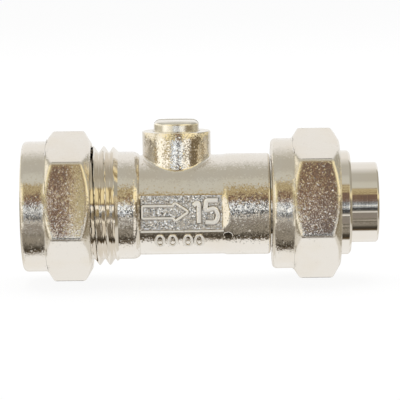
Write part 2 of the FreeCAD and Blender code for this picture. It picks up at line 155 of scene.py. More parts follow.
@labelled
class BodySizes(bpy.types.PropertyGroup):
    """Sizes of the forged and turned body."""

    thread_radius: size(-BODY_LOW.z / MM, "Over the crests of the inlet thread")
    thread_depth: size(1.162, "From crest to root")
    thread_pitch: size(1.814, "Rise of the thread in one turn")
    thread_length: size(10.7, "From the mouth to the barrel")
    thread_crest: size(-1.92, "Where a crest passes the top of the body")
    barrel_radius: size(9.4, "Of the turned part beside the thread")
    barrel_round: size(1.25, "Length of the round from the barrel to the waist")
    waist_start: size(2.503, "Where the barrel's round meets the waist")
    waist_length: size(14.5, "Of the forged part that carries the boss")
    waist_radius: size(8.7, "Of the forged part that carries the boss")
    waist_bevel: size(0.7, "Length of the step from the waist to the tube")
    tube_radius: size(8.85, "Of the outlet end")
    tube_round: size(0.5, "Round of the outlet end")
    tail_bore: size(7.25, "Bore that the outlet tail is screwed into")
    tail_depth: size(8.9, "From the outlet end")
    cavity_radius: size(6.7, "Room for the ball and its seats")
    cavity_start: size(2.8, "Thickness of the wall behind the pipe stop")
    port_radius: size(5.0, "Hole in that wall")
    socket_radius: size(7.6, "Bore for the pipe")
    mouth_radius: size(8.5, "Wide end of the cone that the olive seats in")
    mouth_depth: size(3.506, "Length of that cone")
    boss_radius: size(5.95, "Of the boss round the stem")
    boss_root: size(0.35, "Round where the boss meets the waist")
    boss_edge: size(0.15, "Chamfer of the boss's top edge")
    stem_bore: size(4.05, "Bore in the boss")
    pocket_radius: size(4.95, "Room for the stem's shoulder under the boss")
    pocket_height: size(8.4, "Height of the ledge over the shoulder")
    panel_depth: size(0.6, "How far the marking panel is sunk")
    panel_lean: angle(4.8, "How far the panel faces down")
    panel_start: size(0.15, "Land between the waist's start and the panel")
    panel_end: size(0.2, "Land between the panel and the waist's end")
    panel_start_bevel: size(0.4, "Length of the panel's first end wall for 1 mm of rise")
    panel_end_bevel: size(1.7, "Length of the panel's last end wall for 1 mm of rise")
    panel_half: size(3.15, "From the panel's middle to its long edges")
    panel_wall: size(0.2, "Width of the sloped wall along those edges")
    dent_place: size(17.75, "Where the dent by the panel's low corner lies")
    dent_angle: angle(33.0, "Of the dent below the front")
    dent_radius: size(0.8, "Of that dent")
    dent_depth: size(0.5, "Of that dent")
    panel_round: size(0.05, "Softness of the panel's edges")


@labelled
class NutSizes(bpy.types.PropertyGroup):
    """Sizes that both hexagon nuts share, and the bores of each."""

    flat_distance: size(11.5, "From the axis to a flat")
    turn: angle(20.0, "Of a flat's normal from upright")
    collar_radius: size(11.4, "Of the plain collar")
    collar_round: size(0.8, "Round of the collar's end")
    cone_length: size(1.2, "From the collar to the corners")
    cone_round: size(0.55, "Hollow round where the cone leaves the collar")
    chamfer_length: size(1.4, "Of the turned chamfer at the open end")
    face_radius: size(10.93, "Of the open end's face")
    edge_round: size(0.34, "Round of the edges of the flats")
    face_round: size(0.2, "Round of the open end's outer edge")
    compression_collar: size(4.2, "Length of the compression nut's collar")
    compression_hole: size(7.75, "Hole for the pipe")
    compression_lip: size(1.63, "Wall round the pipe hole")
    compression_cone: size(2.4, "Length of the cone that presses the olive")
    compression_rise: size(1.45, "How far that cone widens")
    compression_bore: size(10.5775, "Bore over the inlet thread")
    compression_mouth: size(0.15, "Round of that bore's open end")
    compression_edge: size(0.25, "Round of the pipe hole's outer edge")
    swivel_collar: size(3.7, "Length of the swivel nut's collar")
    swivel_hole: size(7.8, "Hole for the tail's neck")
    swivel_shoulder: size(2.8, "Wall that bears on the tail's flange")
    swivel_crest: size(9.3155, "Over the crests of the nut's own thread")
    swivel_edge: size(0.3, "Round of the neck hole's outer edge")
    swivel_depth: amount(0.9, "Depth of the nut's own thread, against the inlet's")


@labelled
class TurnedSizes(bpy.types.PropertyGroup):
    """Sizes of the turned tail, stem and compression ring."""

    pilot_radius: size(6.55, "Of the tail's end in the cavity")
    pilot_length: size(1.3, "Of the tail's end in the cavity")
    tail_radius: size(7.2, "Of the tail in the body")
    neck_radius: size(7.5, "Of the neck in the swivel nut")
    neck_length: size(11.4, "From the body to the flange")
    flange_radius: size(9.1, "Of the sealing flange")
    flange_thickness: size(2.6, "Of the sealing flange")
    flange_edge: size(0.4, "Chamfer of the flange")
    nose_radius: size(7.0, "Of the nose past the flange")
    nose_edge: size(0.3, "Chamfer of the nose")
    stem_radius: size(4.0, "Of the stem in the boss")
    stem_chamfer_width: size(0.7, "Of the stem's top")
    stem_chamfer_height: size(0.5, "Of the stem's top")
    stem_round: size(0.7, "Softness of that chamfer")
    shoulder_radius: size(4.8, "Of the shoulder under the boss")
    shoulder_low: size(6.7, "Height of the shoulder's foot")
    shoulder_high: size(7.8, "Height of the shoulder's top")
    groove_radius: size(2.95, "Floor of the ring-seal grooves")
    groove_width: size(1.6, "Of the ring-seal grooves")
    slot_width: size(1.6, "Of the screwdriver slot")
    slot_depth: size(1.9, "Of the screwdriver slot")
    slot_edge: size(0.16, "Chamfer of the slot's edges")
    tang_length: size(7.0, "Of the tang that turns the ball")
    tang_thickness: size(2.4, "Of the tang that turns the ball")
    olive_bore: size(7.55, "Of the compression ring")
    olive_end_radius: size(7.95, "Of the compression ring's ends")
    olive_radius: size(8.75, "Of the compression ring's middle")
    olive_round: size(1.2, "Softness of that middle")


@labelled
class MarkingSizes(bpy.types.PropertyGroup):
    """Sizes of the raised marks on the panel and under it."""

    line: size(0.32, "Half width of the raised lines")
    sink: size(0.06, "How far the middle of a line lies under the panel")
    lift: size(0.25, "How far the arrow and the number stand above the panel's middle")
    stand: size(0.24, "How far the flat top of a line stands over the panel")
    arrow_start: size(2.95, "Where the arrow's shaft starts")
    arrow_neck: size(8.3, "Where the arrow's head starts")
    arrow_tip: size(11.0, "Where the arrow ends")
    shaft_half: size(1.1, "Of the arrow's shaft")
    head_half: size(1.65, "Of the arrow's head")
    figure_start: size(11.85, "Where the size number starts")
    figure_half: size(1.95, "Of the size number")
    one_width: size(0.9, "From the flag of the one to its stroke")
    one_round: size(0.3, "Softness of the one's top")
    five_start: size(2.0, "From the number's start to the five")
    five_end: size(4.2, "From the number's start to the five's end")
    pip_half: size(0.72, "Of the raised rings under the panel")
    pip_tall: size(1.3, "Of the raised rings under the panel")
    pip_angle: angle(-40.0, "Place of the raised rings below the front")
    pip_stand: amount(1.35, "Height of the raised rings, against the other marks")
    lip_line: amount(0.6, "Width of the lip's line, against the others")
    arrow_line: amount(0.8, "Width of the arrow's line, against the others")
    number_line: amount(1.35, "Width of the number's line, against the others")
    pip_line: amount(0.9, "Width of the rings' line, against the others")


@labelled
class FinishLook(bpy.types.PropertyGroup):
    """Colours and textures of the finishes."""

    plating: colour((0.8, 0.757, 0.69), "Nickel plating")
    warm_plating: colour((0.78, 0.715, 0.61), "Where the plating is thin")
    bright_plating: colour((0.88, 0.85, 0.79), "Nickel plating on the stem")
    # Tops of the raised marks: partly worn pale, partly a painted highlight
    rubbed: colour((0.97, 0.935, 0.86), "Tops of the raised marks")
    brass: colour((0.78, 0.56, 0.24), "Bare brass")
    brass_dark: colour((0.58, 0.38, 0.15), "Tarnish on the brass")
    worn_ball: colour((0.72, 0.72, 0.72), "Hard plating of the ball")
    seat: colour((0.84, 0.83, 0.79), "Sintered white seats")
    seal: colour((0.022, 0.022, 0.024), "Rubber rings")
    grain: size(0.21, "Size of the blasted grain")
    grain_tilt: amount(0.105, "How far the facets of the grain lean")
    glint: size(0.24, "Size of the single facets that glint")
    glint_tilt: amount(0.3, "How far those facets lean")
    wave: size(9.0, "Length of the shallow waves in the forged faces")
    wave_tilt: amount(0.1, "How far those waves lean")
    nut_crown: amount(0.11, "How far the flats of the nuts are crowned by tumbling")
    nut_soft: size(0.75, "How far tumbling has softened the edges of the nuts")
    nut_hollow: amount(0.038, "How far the compression nut's flats lean along it, for 1 mm")
    hollow_middle: size(2.7, "From that nut's open end to where its flats don't lean")
    hollow_reach: size(1.6, "From there to where the lean grows no more")
    hollow_soft: size(0.5, "Length of the change from the collar to the flats")
    collar_lean: amount(0.078, "How far that nut's collar leans along it")
    nut_fineness: amount(0.65, "Size of the grain on the nuts, against the body's")
    nut_lively: amount(1.05, "Lean of the grain on the nuts, against the body's")
    waist_lift: amount(0.16, "How far the drawn faces over the panels lean up")
    lift_start: size(1.0, "Height at which they lean in full")
    lift_fade: size(2.4, "Height at which they start to lean less")
    lift_end: size(5.6, "Height at which they lean no more")
    waist_lively: amount(0.8, "Lean of the grain on them, against the body's")
    panel_grain: amount(1.0, "Size of the grain on the panels, against the body's")
    panel_lively: amount(2.1, "Lean of the grain on the panels, against the body's")
    # Painted shade: in creases the plating's colour is darkened towards the painted crease shade, within this
    # width
    crease: size(0.35, "Width of the darker plating in creases")
    crease_shade: colour((0.2, 0.165, 0.12), "Plating in creases")
    blasted_roughness: amount(0.1, "Gloss of the forged faces")
    turned_roughness: amount(0.055, "Gloss of the turned faces")
    stem_dull: amount(0.2, "How much rougher the stem and the boss's top are")


@labelled
class StageLook(bpy.types.PropertyGroup):
    """Camera, floor and light."""

    look_at_x: size(12.98, "Middle of the picture along the axis")
    look_at_z: size(0.74, "Middle of the picture above the axis")
    distance: size(450.0, "From the camera to the middle")
    elevation: angle(6.0, "Of the camera above the axis")
    roll: angle(-0.8, "Turn of the camera about its own line of sight")
    view_width: size(70.18, "Width of the picture at the middle")
    clip_start: size(10.0, "Nearest distance that the camera shows")
    floor_size: size(20000.0, "Length of the floor's sides")
    floor_gap: size(0.25, "Below the lowest corner")
    floor_colour: colour((0.9, 0.9, 0.9), "Plain pale floor")
    floor_glow: amount(0.9, "Share of plain white that the camera sees on the floor")
    world_strength: amount(0.75, "Soft light from all round")
    key_power: amount(6.0, "Power of the overhead lamp in watts")
    key_size: size(900.0, "Width of the overhead lamp")
    key_height: size(800.0, "Of the overhead lamp above the axis")
    key_back: size(350.0, "Of the overhead lamp behind the valve")
    tent_radius: size(1500.0, "Of the light tent round the valve")


# Drawing and turning


def start_piece(name):
    """Start a new piece as one point at the origin, in edit mode."""
    bpy.ops.object.select_all(action="DESELECT")
    bpy.ops.mesh.primitive_plane_add(size=MM)
    piece = bpy.context.object
    piece.name = name
    piece.data.name = name
    bpy.ops.object.mode_set(mode="EDIT")
    bpy.ops.mesh.select_mode(type="VERT")
    bpy.ops.mesh.select_all(action="SELECT")
    bpy.ops.mesh.merge(type="CENTER")
    return piece


def draw_line(points):
    """Pull the selected point along a line of points."""
    here = Vector((0, 0, 0))
    for place, point in enumerate(points):
        step = Vector(point) - here
        if place == 0:
            bpy.ops.transform.translate(value=step)
        else:
            bpy.ops.mesh.extrude_region_move(TRANSFORM_OT_translate={"value": step})
        here = Vector(point)


def rounded(corners, closed=True):
    """The points of an outline; a third entry of a corner is the radius of its round."""
    points = []
    count = len(corners)
    for place, corner in enumerate(corners):
        here = Vector(corner[:2])
        inner = closed or 0 < place < count - 1
        if len(corner) == 2 or not inner:
            points.append(here)
            continue
        back = (Vector(corners[place - 1][:2]) - here).normalized()
        ahead = (Vector(corners[(place + 1) % count][:2]) - here).normalized()
        half = back.angle(ahead) / 2
        centre = here + (back + ahead).normalized() * corner[2] / math.sin(half)
        reach = corner[2] / math.tan(half)
        first = here + back * reach - centre
        last = here + ahead * reach - centre
        sweep = first.angle_signed(last)
        steps = max(2, math.ceil(abs(sweep) / ARC_STEP))
        for step in range(steps + 1):
            turn = -sweep * step / steps
            arm = Vector((
                first.x * math.cos(turn) - first.y * math.sin(turn),
                first.x * math.sin(turn) + first.y * math.cos(turn),
            ))
            points.append(centre + arm)
    return points


def select_points(test):
    """Select the points of the piece in edit mode that pass a test on their place."""
    bpy.ops.mesh.select_all(action="DESELECT")
    bpy.ops.mesh.select_mode(type="VERT")
    mesh = bmesh.from_edit_mesh(bpy.context.object.data)
    for point in mesh.verts:
        if test(point.co):
            point.select = True
    mesh.select_flush(True)
    bmesh.update_edit_mesh(bpy.context.object.data)


def select_faces(test):
    """Select the faces of the piece in edit mode that pass a test on their middle and normal."""
    bpy.ops.mesh.select_all(action="DESELECT")
    bpy.ops.mesh.select_mode(type="FACE")
    mesh = bmesh.from_edit_mesh(bpy.context.object.data)
    for face in mesh.faces:
        if test(face.calc_center_median(), face.normal):
            face.select_set(True)
    bmesh.update_edit_mesh(bpy.context.object.data)


def select_rim():
    """Select the open edges of the piece in edit mode and give their number."""
    bpy.ops.mesh.select_mode(type="EDGE")
    bpy.ops.mesh.select_all(action="DESELECT")
    bpy.ops.mesh.select_non_manifold(
        extend=False,
        use_wire=True,
        use_boundary=True,
        use_multi_face=False,
        use_non_contiguous=False,
        use_verts=False,
    )
    mesh = bmesh.from_edit_mesh(bpy.context.object.data)
    return sum(edge.select for edge in mesh.edges)


def move_selected(place):
    """Move each selected point of the piece in edit mode to the place that a formula gives."""
    mesh = bmesh.from_edit_mesh(bpy.context.object.data)
    for point in mesh.verts:
        if point.select:
            point.co = place(point.co)
    bmesh.update_edit_mesh(bpy.context.object.data)


def cut_rows(start, end, cuts):
    """Divide the outline's edge between two points into rows."""
    ends = [Vector((start[0], 0, start[1])), Vector((end[0], 0, end[1]))]
    select_points(lambda co: any((co - corner).length < MERGE for corner in ends))
    bpy.ops.mesh.subdivide(number_cuts=cuts)


def weld():
    """Join the points of the piece in edit mode that lie in one place."""
    bpy.ops.mesh.select_all(action="SELECT")
    bpy.ops.mesh.remove_doubles(threshold=MERGE)


def face_outward():
    """Turn all faces of the piece in edit mode outward."""
    bpy.ops.mesh.select_all(action="SELECT")
    bpy.ops.mesh.normals_make_consistent(inside=False)


def turn_outline(centre, axis, steps):
    """Turn the drawn outline about an axis into a closed skin."""
    bpy.ops.mesh.select_mode(type="VERT")
    bpy.ops.mesh.select_all(action="SELECT")
    bpy.ops.mesh.spin(steps=steps, angle=FULL_TURN, center=centre, axis=axis)
    weld()
    face_outward()


def lathe(name, corners, steps, rows=(), closed=True):
    """Turn an outline of (along, radius) corners about the waterway axis."""
    piece = start_piece(name)
    points = rounded(corners, closed)
    if closed:
        points.append(points[0])
    draw_line([(point.x, 0, point.y) for point in points])
    weld()
    for start, end, cuts in rows:
        cut_rows(start, end, cuts)
    turn_outline((0, 0, 0), ALONG, steps)
    bpy.ops.object.mode_set(mode="OBJECT")
    return piece


def pick(piece):
    """Make a piece the only selected one."""
    bpy.ops.object.select_all(action="DESELECT")
    piece.select_set(True)
    bpy.context.view_layer.objects.active = piece


def change(piece, kind, **settings):
    """Add a modifier to a piece and apply it."""
    pick(piece)
    bpy.ops.object.modifier_add(type=kind)
    modifier = piece.modifiers[-1]
    for name, value in settings.items():
        setattr(modifier, name, value)
    bpy.ops.object.modifier_apply(modifier=modifier.name)


def smooth(piece):
    """Shade a piece smooth, with its flat faces kept flat."""
    pick(piece)
    bpy.ops.object.shade_smooth_by_angle(angle=SMOOTH_ANGLE)
    change(piece, "WEIGHTED_NORMAL", keep_sharp=True)


def combine(piece, tool, operation):
    """Join a tool body to a piece or cut it out, then remove the tool."""
    change(piece, "BOOLEAN", operation=operation, solver="EXACT", object=tool)
    bpy.data.objects.remove(tool)


def add_block(low, high, flare=0.0):
    """A block between two corners, as a tool for a cut or a join; its top may be wider."""
    bpy.ops.object.select_all(action="DESELECT")
    bpy.ops.mesh.primitive_cube_add(size=1)
    block = bpy.context.object
    bpy.ops.object.mode_set(mode="EDIT")
    bpy.ops.transform.resize(value=high - low)
    bpy.ops.transform.translate(value=(low + high) / 2)
    if flare:
        select_points(lambda co: co.z > (low.z + high.z) / 2)
        move_selected(lambda co: co + Vector((0, math.copysign(flare, co.y), 0)))
    bpy.ops.object.mode_set(mode="OBJECT")
    return block


def points_of(piece):
    """The places of a piece's points as one array."""
    places = np.empty(len(piece.data.vertices) * 3)
    piece.data.vertices.foreach_get("co", places)
    return places.reshape(-1, 3)


def place_points(piece, places):
    piece.data.vertices.foreach_set("co", places.ravel())
    piece.data.update()


def smooth_min(first, second, width):
    """The lesser of two values, with the change between them rounded over a width."""
    share = np.clip(width - np.abs(first - second), 0, None) / width
    return np.minimum(first, second) - share ** 2 * width / 4


def cover(piece, finishes):
    """Give a piece its finishes, by their names."""
    piece.data.materials.clear()
    for name in finishes:
        piece.data.materials.append(finish_named(name))


def dress(piece, body, finishes, node=None):
    """Put a piece on its body with its finishes."""
    if not piece.data.polygons:
        raise RuntimeError(f"{piece.name} has no faces")
    cover(piece, finishes)
    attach(piece, body)
    if node:
        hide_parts(node)


def paint(piece, tests):
    """Give the second finish and those after it to the faces that pass their tests."""
    for face in piece.data.polygons:
        for place, test in enumerate(tests, start=1):
            if test(face.center, face.normal):
                face.material_index = place


# Finishes


class Wire:
    """A socket of a node tree; arithmetic on it adds Math nodes."""

    def __init__(self, tree, socket):
        self.tree = tree
        self.socket = socket

    def math(self, operation, *values):
        return self.tree.node("ShaderNodeMath", {"operation": operation}, dict(enumerate(values)))

    def then(self, operation, *others):
        """A function of this wire, and of others where it takes more than one."""
        return self.math(operation, self, *others)

    def __add__(self, other):
        return self.then("ADD", other)

    __radd__ = __add__

    def __sub__(self, other):
        return self.then("SUBTRACT", other)

    def __rsub__(self, other):
        return self.math("SUBTRACT", other, self)

    def __mul__(self, other):
        return self.then("MULTIPLY", other)

    __rmul__ = __mul__

    def __truediv__(self, other):
        return self.then("DIVIDE", other)

    def __rtruediv__(self, other):
        return self.math("DIVIDE", other, self)


class Tree:
    """The node tree of a material or of the world."""

    def __init__(self, owner):
        owner.use_nodes = True
        self.tree = owner.node_tree

    def node(self, kind, settings=None, sockets=None, output=0):
        """Add a node: its settings are set first, then its sockets are given values or links."""
        made = self.tree.nodes.new(kind)
        for name, value in (settings or {}).items():
            if name == "stops":
                self.set_stops(made.color_ramp, value)
            else:
                setattr(made, name, value)
        for name, value in (sockets or {}).items():
            self.feed(made.inputs[name], value)
        return Wire(self, made.outputs[output])

    def feed(self, socket, value):
        """Link a wire to a socket, or set the socket's own value."""
        if isinstance(value, Wire):
            self.tree.links.new(value.socket, socket)
        else:
            socket.default_value = value

    @staticmethod
    def set_stops(ramp, stops):
        while len(ramp.elements) < len(stops):
            ramp.elements.new(1)
        for element, (place, shade) in zip(ramp.elements, stops):
            element.position = place
            element.color = (*shade, 1)

    def mix(self, factor, first, second):
        """Mix two colours."""
        settings = {"data_type": "RGBA", "clamp_factor": True}
        first = first if isinstance(first, Wire) else (*first, 1)
        second = second if isinstance(second, Wire) else (*second, 1)
        return self.node("ShaderNodeMix", settings, {0: factor, 6: first, 7: second}, 2)

    def vector(self, operation, *values):
        return self.node("ShaderNodeVectorMath", {"operation": operation}, dict(enumerate(values)))

    def scaled(self, vector, factor):
        return self.node("ShaderNodeVectorMath", {"operation": "SCALE"}, {0: vector, "Scale": factor})

    def place(self):
        """The place on the piece, in its own frame."""
        return self.node("ShaderNodeTexCoord", output=3)

    def grain_place(self, place):
        """The place in a frame turned away from the piece's flat faces, so that a grain is even on them."""
        sockets = {"Vector": place, "Rotation": GRAIN_TURN}
        return self.node("ShaderNodeMapping", {"vector_type": "POINT"}, sockets)

    def split(self, place):
        """The three coordinates of a place."""
        parts = self.node("ShaderNodeSeparateXYZ", None, {"Vector": place})
        return [Wire(self, output) for output in parts.socket.node.outputs]

    def rays(self):
        """What kind of ray meets the surface, by name."""
        path = self.node("ShaderNodeLightPath")
        return {output.name: Wire(self, output) for output in path.socket.node.outputs}

    def noise(self, place, scale, detail=2.0, roughness=0.5, output=0):
        sockets = {"Vector": place, "Scale": scale, "Detail": detail, "Roughness": roughness}
        return self.node("ShaderNodeTexNoise", None, sockets, output)

    def step_between(self, value, low, high):
        """0 below low, 1 above high, and an even rise between them."""
        sockets = {"Value": value, "From Min": low, "From Max": high}
        return self.node("ShaderNodeMapRange", {"interpolation_type": "SMOOTHSTEP"}, sockets)

    def within(self, value, low, high, soft):
        """1 between two values, 0 outside them."""
        past_low = self.step_between(value, low - soft, low + soft)
        past_high = self.step_between(value, high - soft, high + soft)
        return past_low * (1 - past_high)

    def facets(self, place, width, tilt):
        """How the normal leans on the facets of a grain."""
        sockets = {"Vector": place, "Scale": 1 / width, "Randomness": 1.0}
        cells = self.node("ShaderNodeTexVoronoi", {"feature": "F1"}, sockets, 1)
        return self.scaled(self.vector("SUBTRACT", cells, HALVES), tilt)

    def bump(self, height, distance, normal=None):
        sockets = {"Height": height, "Distance": distance, "Strength": 1.0}
        if normal:
            sockets["Normal"] = normal
        return self.node("ShaderNodeBump", None, sockets)


class Finish(Tree):
    """A material of one shader."""

    def __init__(self, name):
        self.material = bpy.data.materials.new(name)
        super().__init__(self.material)
        self.shader = self.tree.nodes["Principled BSDF"]

    def set(self, **values):
        """Give the shader's sockets values or links; an underline in a name stands for a space."""
        for name, value in values.items():
            if isinstance(value, tuple):
                value = (*value, 1)
            self.feed(self.shader.inputs[name.replace("_", " ")], value)

    def show(self, shader):
        """Show another shader in place of the first one."""
        self.feed(self.tree.nodes["Material Output"].inputs["Surface"], shader)


def plain_normal(finish, look, place):
    """The normal of the mesh as it is."""
    return finish.node("ShaderNodeNewGeometry", output=1)


def lifted_normal(finish, look, place):
    """The normal on the drawn faces over the panels, which lean up."""
    height = finish.split(place)[2]
    above = finish.step_between(height, 0.0, look.lift_start)
    below = 1 - finish.step_between(height, look.lift_fade, look.lift_end)
    lean = finish.scaled(UPRIGHT, above * below * look.waist_lift)
    return finish.vector("ADD", plain_normal(finish, look, place), lean)


def crowned_normal(finish, look, place):
    """The normal on flats that tumbling has crowned, with softened edges."""
    facing = finish.node("ShaderNodeBevel", {"samples": 6}, {"Radius": look.nut_soft})
    outward = finish.vector("NORMALIZE", finish.vector("MULTIPLY", place, (0, 1, 1)))
    settings = {"vector_type": "VECTOR", "convert_from": "OBJECT", "convert_to": "WORLD"}
    outward = finish.node("ShaderNodeVectorTransform", settings, {"Vector": outward})
    return finish.vector("ADD", facing, finish.scaled(outward, look.nut_crown))


def hollow_normal(finish, look, place):
    """The normal on the compression nut, whose flats are hollow along it and whose collar leans."""
    low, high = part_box("compression_nut")
    along = finish.split(place)[0]
    flats = low.x + bpy.context.scene.nut_sizes.compression_collar + look.hollow_soft
    middle = high.x - look.hollow_middle
    hollow = (along - middle).then("MAXIMUM", -look.hollow_reach) * (-look.nut_hollow / MM)
    on_flats = finish.step_between(along, flats - look.hollow_soft, flats)
    lean = hollow * on_flats + (1 - on_flats) * look.collar_lean
    return finish.vector("ADD", crowned_normal(finish, look, place), finish.scaled(ALONG, lean))


def blasted_plating(look, name, fineness=1.0, lively=1.0, painted_shade_steps=(0.35, 0.85), normal=plain_normal):
    """Nickel plating over a shot-blasted forging: fine leaning facets that glint one by one, with painted
    shade that darkens its colour in creases.
    """
    finish = Finish(name)
    place = finish.place()
    grain = finish.grain_place(place)
    patches = finish.step_between(finish.noise(place, CLOUDS, 3.0), 0.38, 0.68)
    chance = finish.noise(grain, 0.7 / look.glint, 0.0)
    glint = finish.step_between(chance, 0.62, 0.66) * look.glint_tilt
    waves = finish.vector("SUBTRACT", finish.noise(place, 1 / look.wave, 1.0, output=1), HALVES)
    facing = normal(finish, look, place)
    for lean in (
        finish.facets(grain, look.grain * fineness, look.grain_tilt * fineness * lively),
        finish.facets(grain, look.glint * fineness, glint),
        finish.scaled(waves, look.wave_tilt),
    ):
        facing = finish.vector("ADD", facing, lean)
    facing = finish.vector("NORMALIZE", facing)
    peel = finish.noise(grain, PEEL, 3.0, 0.6)
    fine = finish.noise(grain, FINE_GRAIN, 2.0, 0.6)
    # Painted shade: ambient occlusion darkens the base colour in creases, at the feet of the raised marks, in
    # thread roots and by the boss
    open_share = finish.node("ShaderNodeAmbientOcclusion", {"samples": 8}, {"Distance": look.crease}, 1)
    shade = finish.mix(patches * 0.55, look.plating, look.warm_plating)
    finish.set(
        Base_Color=finish.mix(finish.step_between(open_share, *painted_shade_steps), look.crease_shade, shade),
        Metallic=1.0,
        Roughness=look.blasted_roughness + (fine - 0.5) * 0.12 + patches * 0.03,
        Normal=finish.bump(peel + fine * 0.2, 0.03 * MM, facing),
    )
    return finish.material


def tumbled_plating(look, name, normal):
    """The same plating on a nut, tumbled finer, with fainter painted shade in its creases."""
    return blasted_plating(look, name, look.nut_fineness, look.nut_lively, (0.2, 0.7), normal)


def turned_plating(look, name, upright=False):
    """Bright nickel plating over a turned face, with fine tool lines round its axis."""
    finish = Finish(name)
    place = finish.place()
    along, across, height = finish.split(place)
    if upright:
        along = along - STEM_X
        travel = (along * along + across * across).then("SQRT") + height
    else:
        travel = (across * across + height * height).then("SQRT") * 0.6 + along
    sockets = {"W": travel * TOOL_LINES, "Detail": 2.0}
    lines = finish.node("ShaderNodeTexNoise", {"noise_dimensions": "1D"}, sockets)
    cloud = finish.noise(place, TURNED_CLOUDS, 3.0)
    patches = finish.step_between(cloud, 0.4, 0.7)
    bright = look.bright_plating if upright else look.plating
    roughness = look.turned_roughness + (look.stem_dull if upright else 0.0)
    finish.set(
        Base_Color=finish.mix(patches * 0.4, bright, look.warm_plating),
        Metallic=1.0,
        Roughness=roughness + (lines - 0.5) * 0.1 + patches * 0.03,
        Normal=finish.bump(lines + cloud * 0.6, 0.002 * MM),
    )
    return finish.material


def mottled(name, shades, cloud, share, roughness, relief=0.0, fine=None, metallic=1.0):
    """Two shades that a cloud mixes; the cloud also shows in the gloss and the relief.

    share is a factor on the cloud, or the two values between which the second shade takes over.
    """
    finish = Finish(name)
    place = finish.place()
    mottle = finish.noise(place, *cloud)
    part = finish.step_between(mottle, *share) if isinstance(share, tuple) else mottle * share
    middle, swing = roughness
    finish.set(
        Base_Color=finish.mix(part, *shades),
        Metallic=metallic,
        Roughness=middle + (mottle - 0.5) * swing,
    )
    if relief:
        height = mottle
        if fine:
            scale, weight = fine
            height = height + finish.noise(place, scale) * weight
        finish.set(Normal=finish.bump(height, relief * MM))
    return finish.material


def rubbed_plating(look, name):
    """Plating worn pale on the tops of raised marks, and painted lighter there as a highlight."""
    shades = (look.rubbed, look.plating)
    return mottled(name, shades, (1300.0, 3.0), 0.6, (0.3, 0.25), 0.02, (7000.0, 0.3), 0.35)


def stained_plating(look, name):
    """Painted shade in a dent: dull plating darkened towards the painted crease shade."""
    shades = (0.35 * look.crease_shade, look.crease_shade)
    return mottled(name, shades, (2500.0, 3.0), (0.5, 0.75), (0.4, 0.2))


def bare_brass(look, name):
    """Turned brass with a little tarnish."""
    shades = (look.brass, look.brass_dark)
    return mottled(name, shades, (420.0, 4.0), (0.4, 0.75), (0.26, 0.3), 0.02, (6000.0, 1.0))


def polished_ball(look, name):
    """Hard bright plating with faint wear."""
    shades = (look.worn_ball, look.plating)
    return mottled(name, shades, (700.0, 4.0), (0.5, 0.8), (0.11, 0.08), 0.004)


def sintered_seat(look, name):
    """White sintered plastic."""
    shades = (look.seat, 0.9 * look.seat)
    return mottled(name, shades, (1500.0, 3.0), 1.0, (0.4, 0.2), 0.02, metallic=0.0)


def rubber_seal(look, name):
    """Black moulded rubber, slightly greased."""
    shades = (look.seal, 3 * look.seal)
    return mottled(name, shades, (1100.0, 3.0), 0.6, (0.38, 0.3), 0.015, metallic=0.0)


def waist_plating(look, name):
    """Drawn faces over the panels."""
    return blasted_plating(look, name, lively=look.waist_lively, normal=lifted_normal)


def panel_plating(look, name):
    """Sunken panels, blasted coarse, with strong painted shade in their creases."""
    return blasted_plating(look, name, look.panel_grain, look.panel_lively, (0.6, 0.98))


def tumbled_compression_nut(look, name):
    return tumbled_plating(look, name, hollow_normal)


def tumbled_swivel_nut(look, name):
    return tumbled_plating(look, name, crowned_normal)


def turned_upright_plating(look, name):
    """Turned plating about the stem's axis."""
    return turned_plating(look, name, True)


FINISHES = {
    maker.__name__: maker
    for maker in (
        blasted_plating,
        waist_plating,
        panel_plating,
        tumbled_compression_nut,
        tumbled_swivel_nut,
        turned_plating,
        turned_upright_plating,
        rubbed_plating,
        stained_plating,
        bare_brass,
        polished_ball,
        sintered_seat,
        rubber_seal,
    )
}


def finish_named(name):
    """A finish that pieces share, made when it is first asked for."""
    made = bpy.data.materials.get(name)
    return made or FINISHES[name](bpy.context.scene.finish_look, name)


# Valve body


def thread_height(along, turn, pitch, crest):
    """The height of a thread's flank, from 0 in the root to 1 on the crest."""
    phase = (along - crest) / pitch - turn / FULL_TURN
    rise = np.abs(2 * (phase - np.floor(phase)) - 1)
    return rise - 0.25 * np.sin(FULL_TURN * rise) / FULL_TURN


def cut_thread(places, sizes):
    """Cut the inlet thread into the rows drawn for it."""
    along, across, up = places.T
    reach = np.hypot(across, up)
    mouth = BODY_LOW.x
    end = mouth + sizes.thread_length
    rows = (along < end + MERGE) & (reach > sizes.thread_radius - 10 * MERGE)
    root = sizes.thread_radius - sizes.thread_depth
    turn = np.arctan2(-across, up)
    height = thread_height(along, turn, sizes.thread_pitch, sizes.thread_crest)
    radius = root + sizes.thread_depth * height
    radius = smooth_min(radius, root + along - mouth, THREAD_SOFT)
    radius = smooth_min(radius, sizes.barrel_radius + end - along, THREAD_SOFT)
    places[rows, 1:] *= (radius / reach)[rows, None]


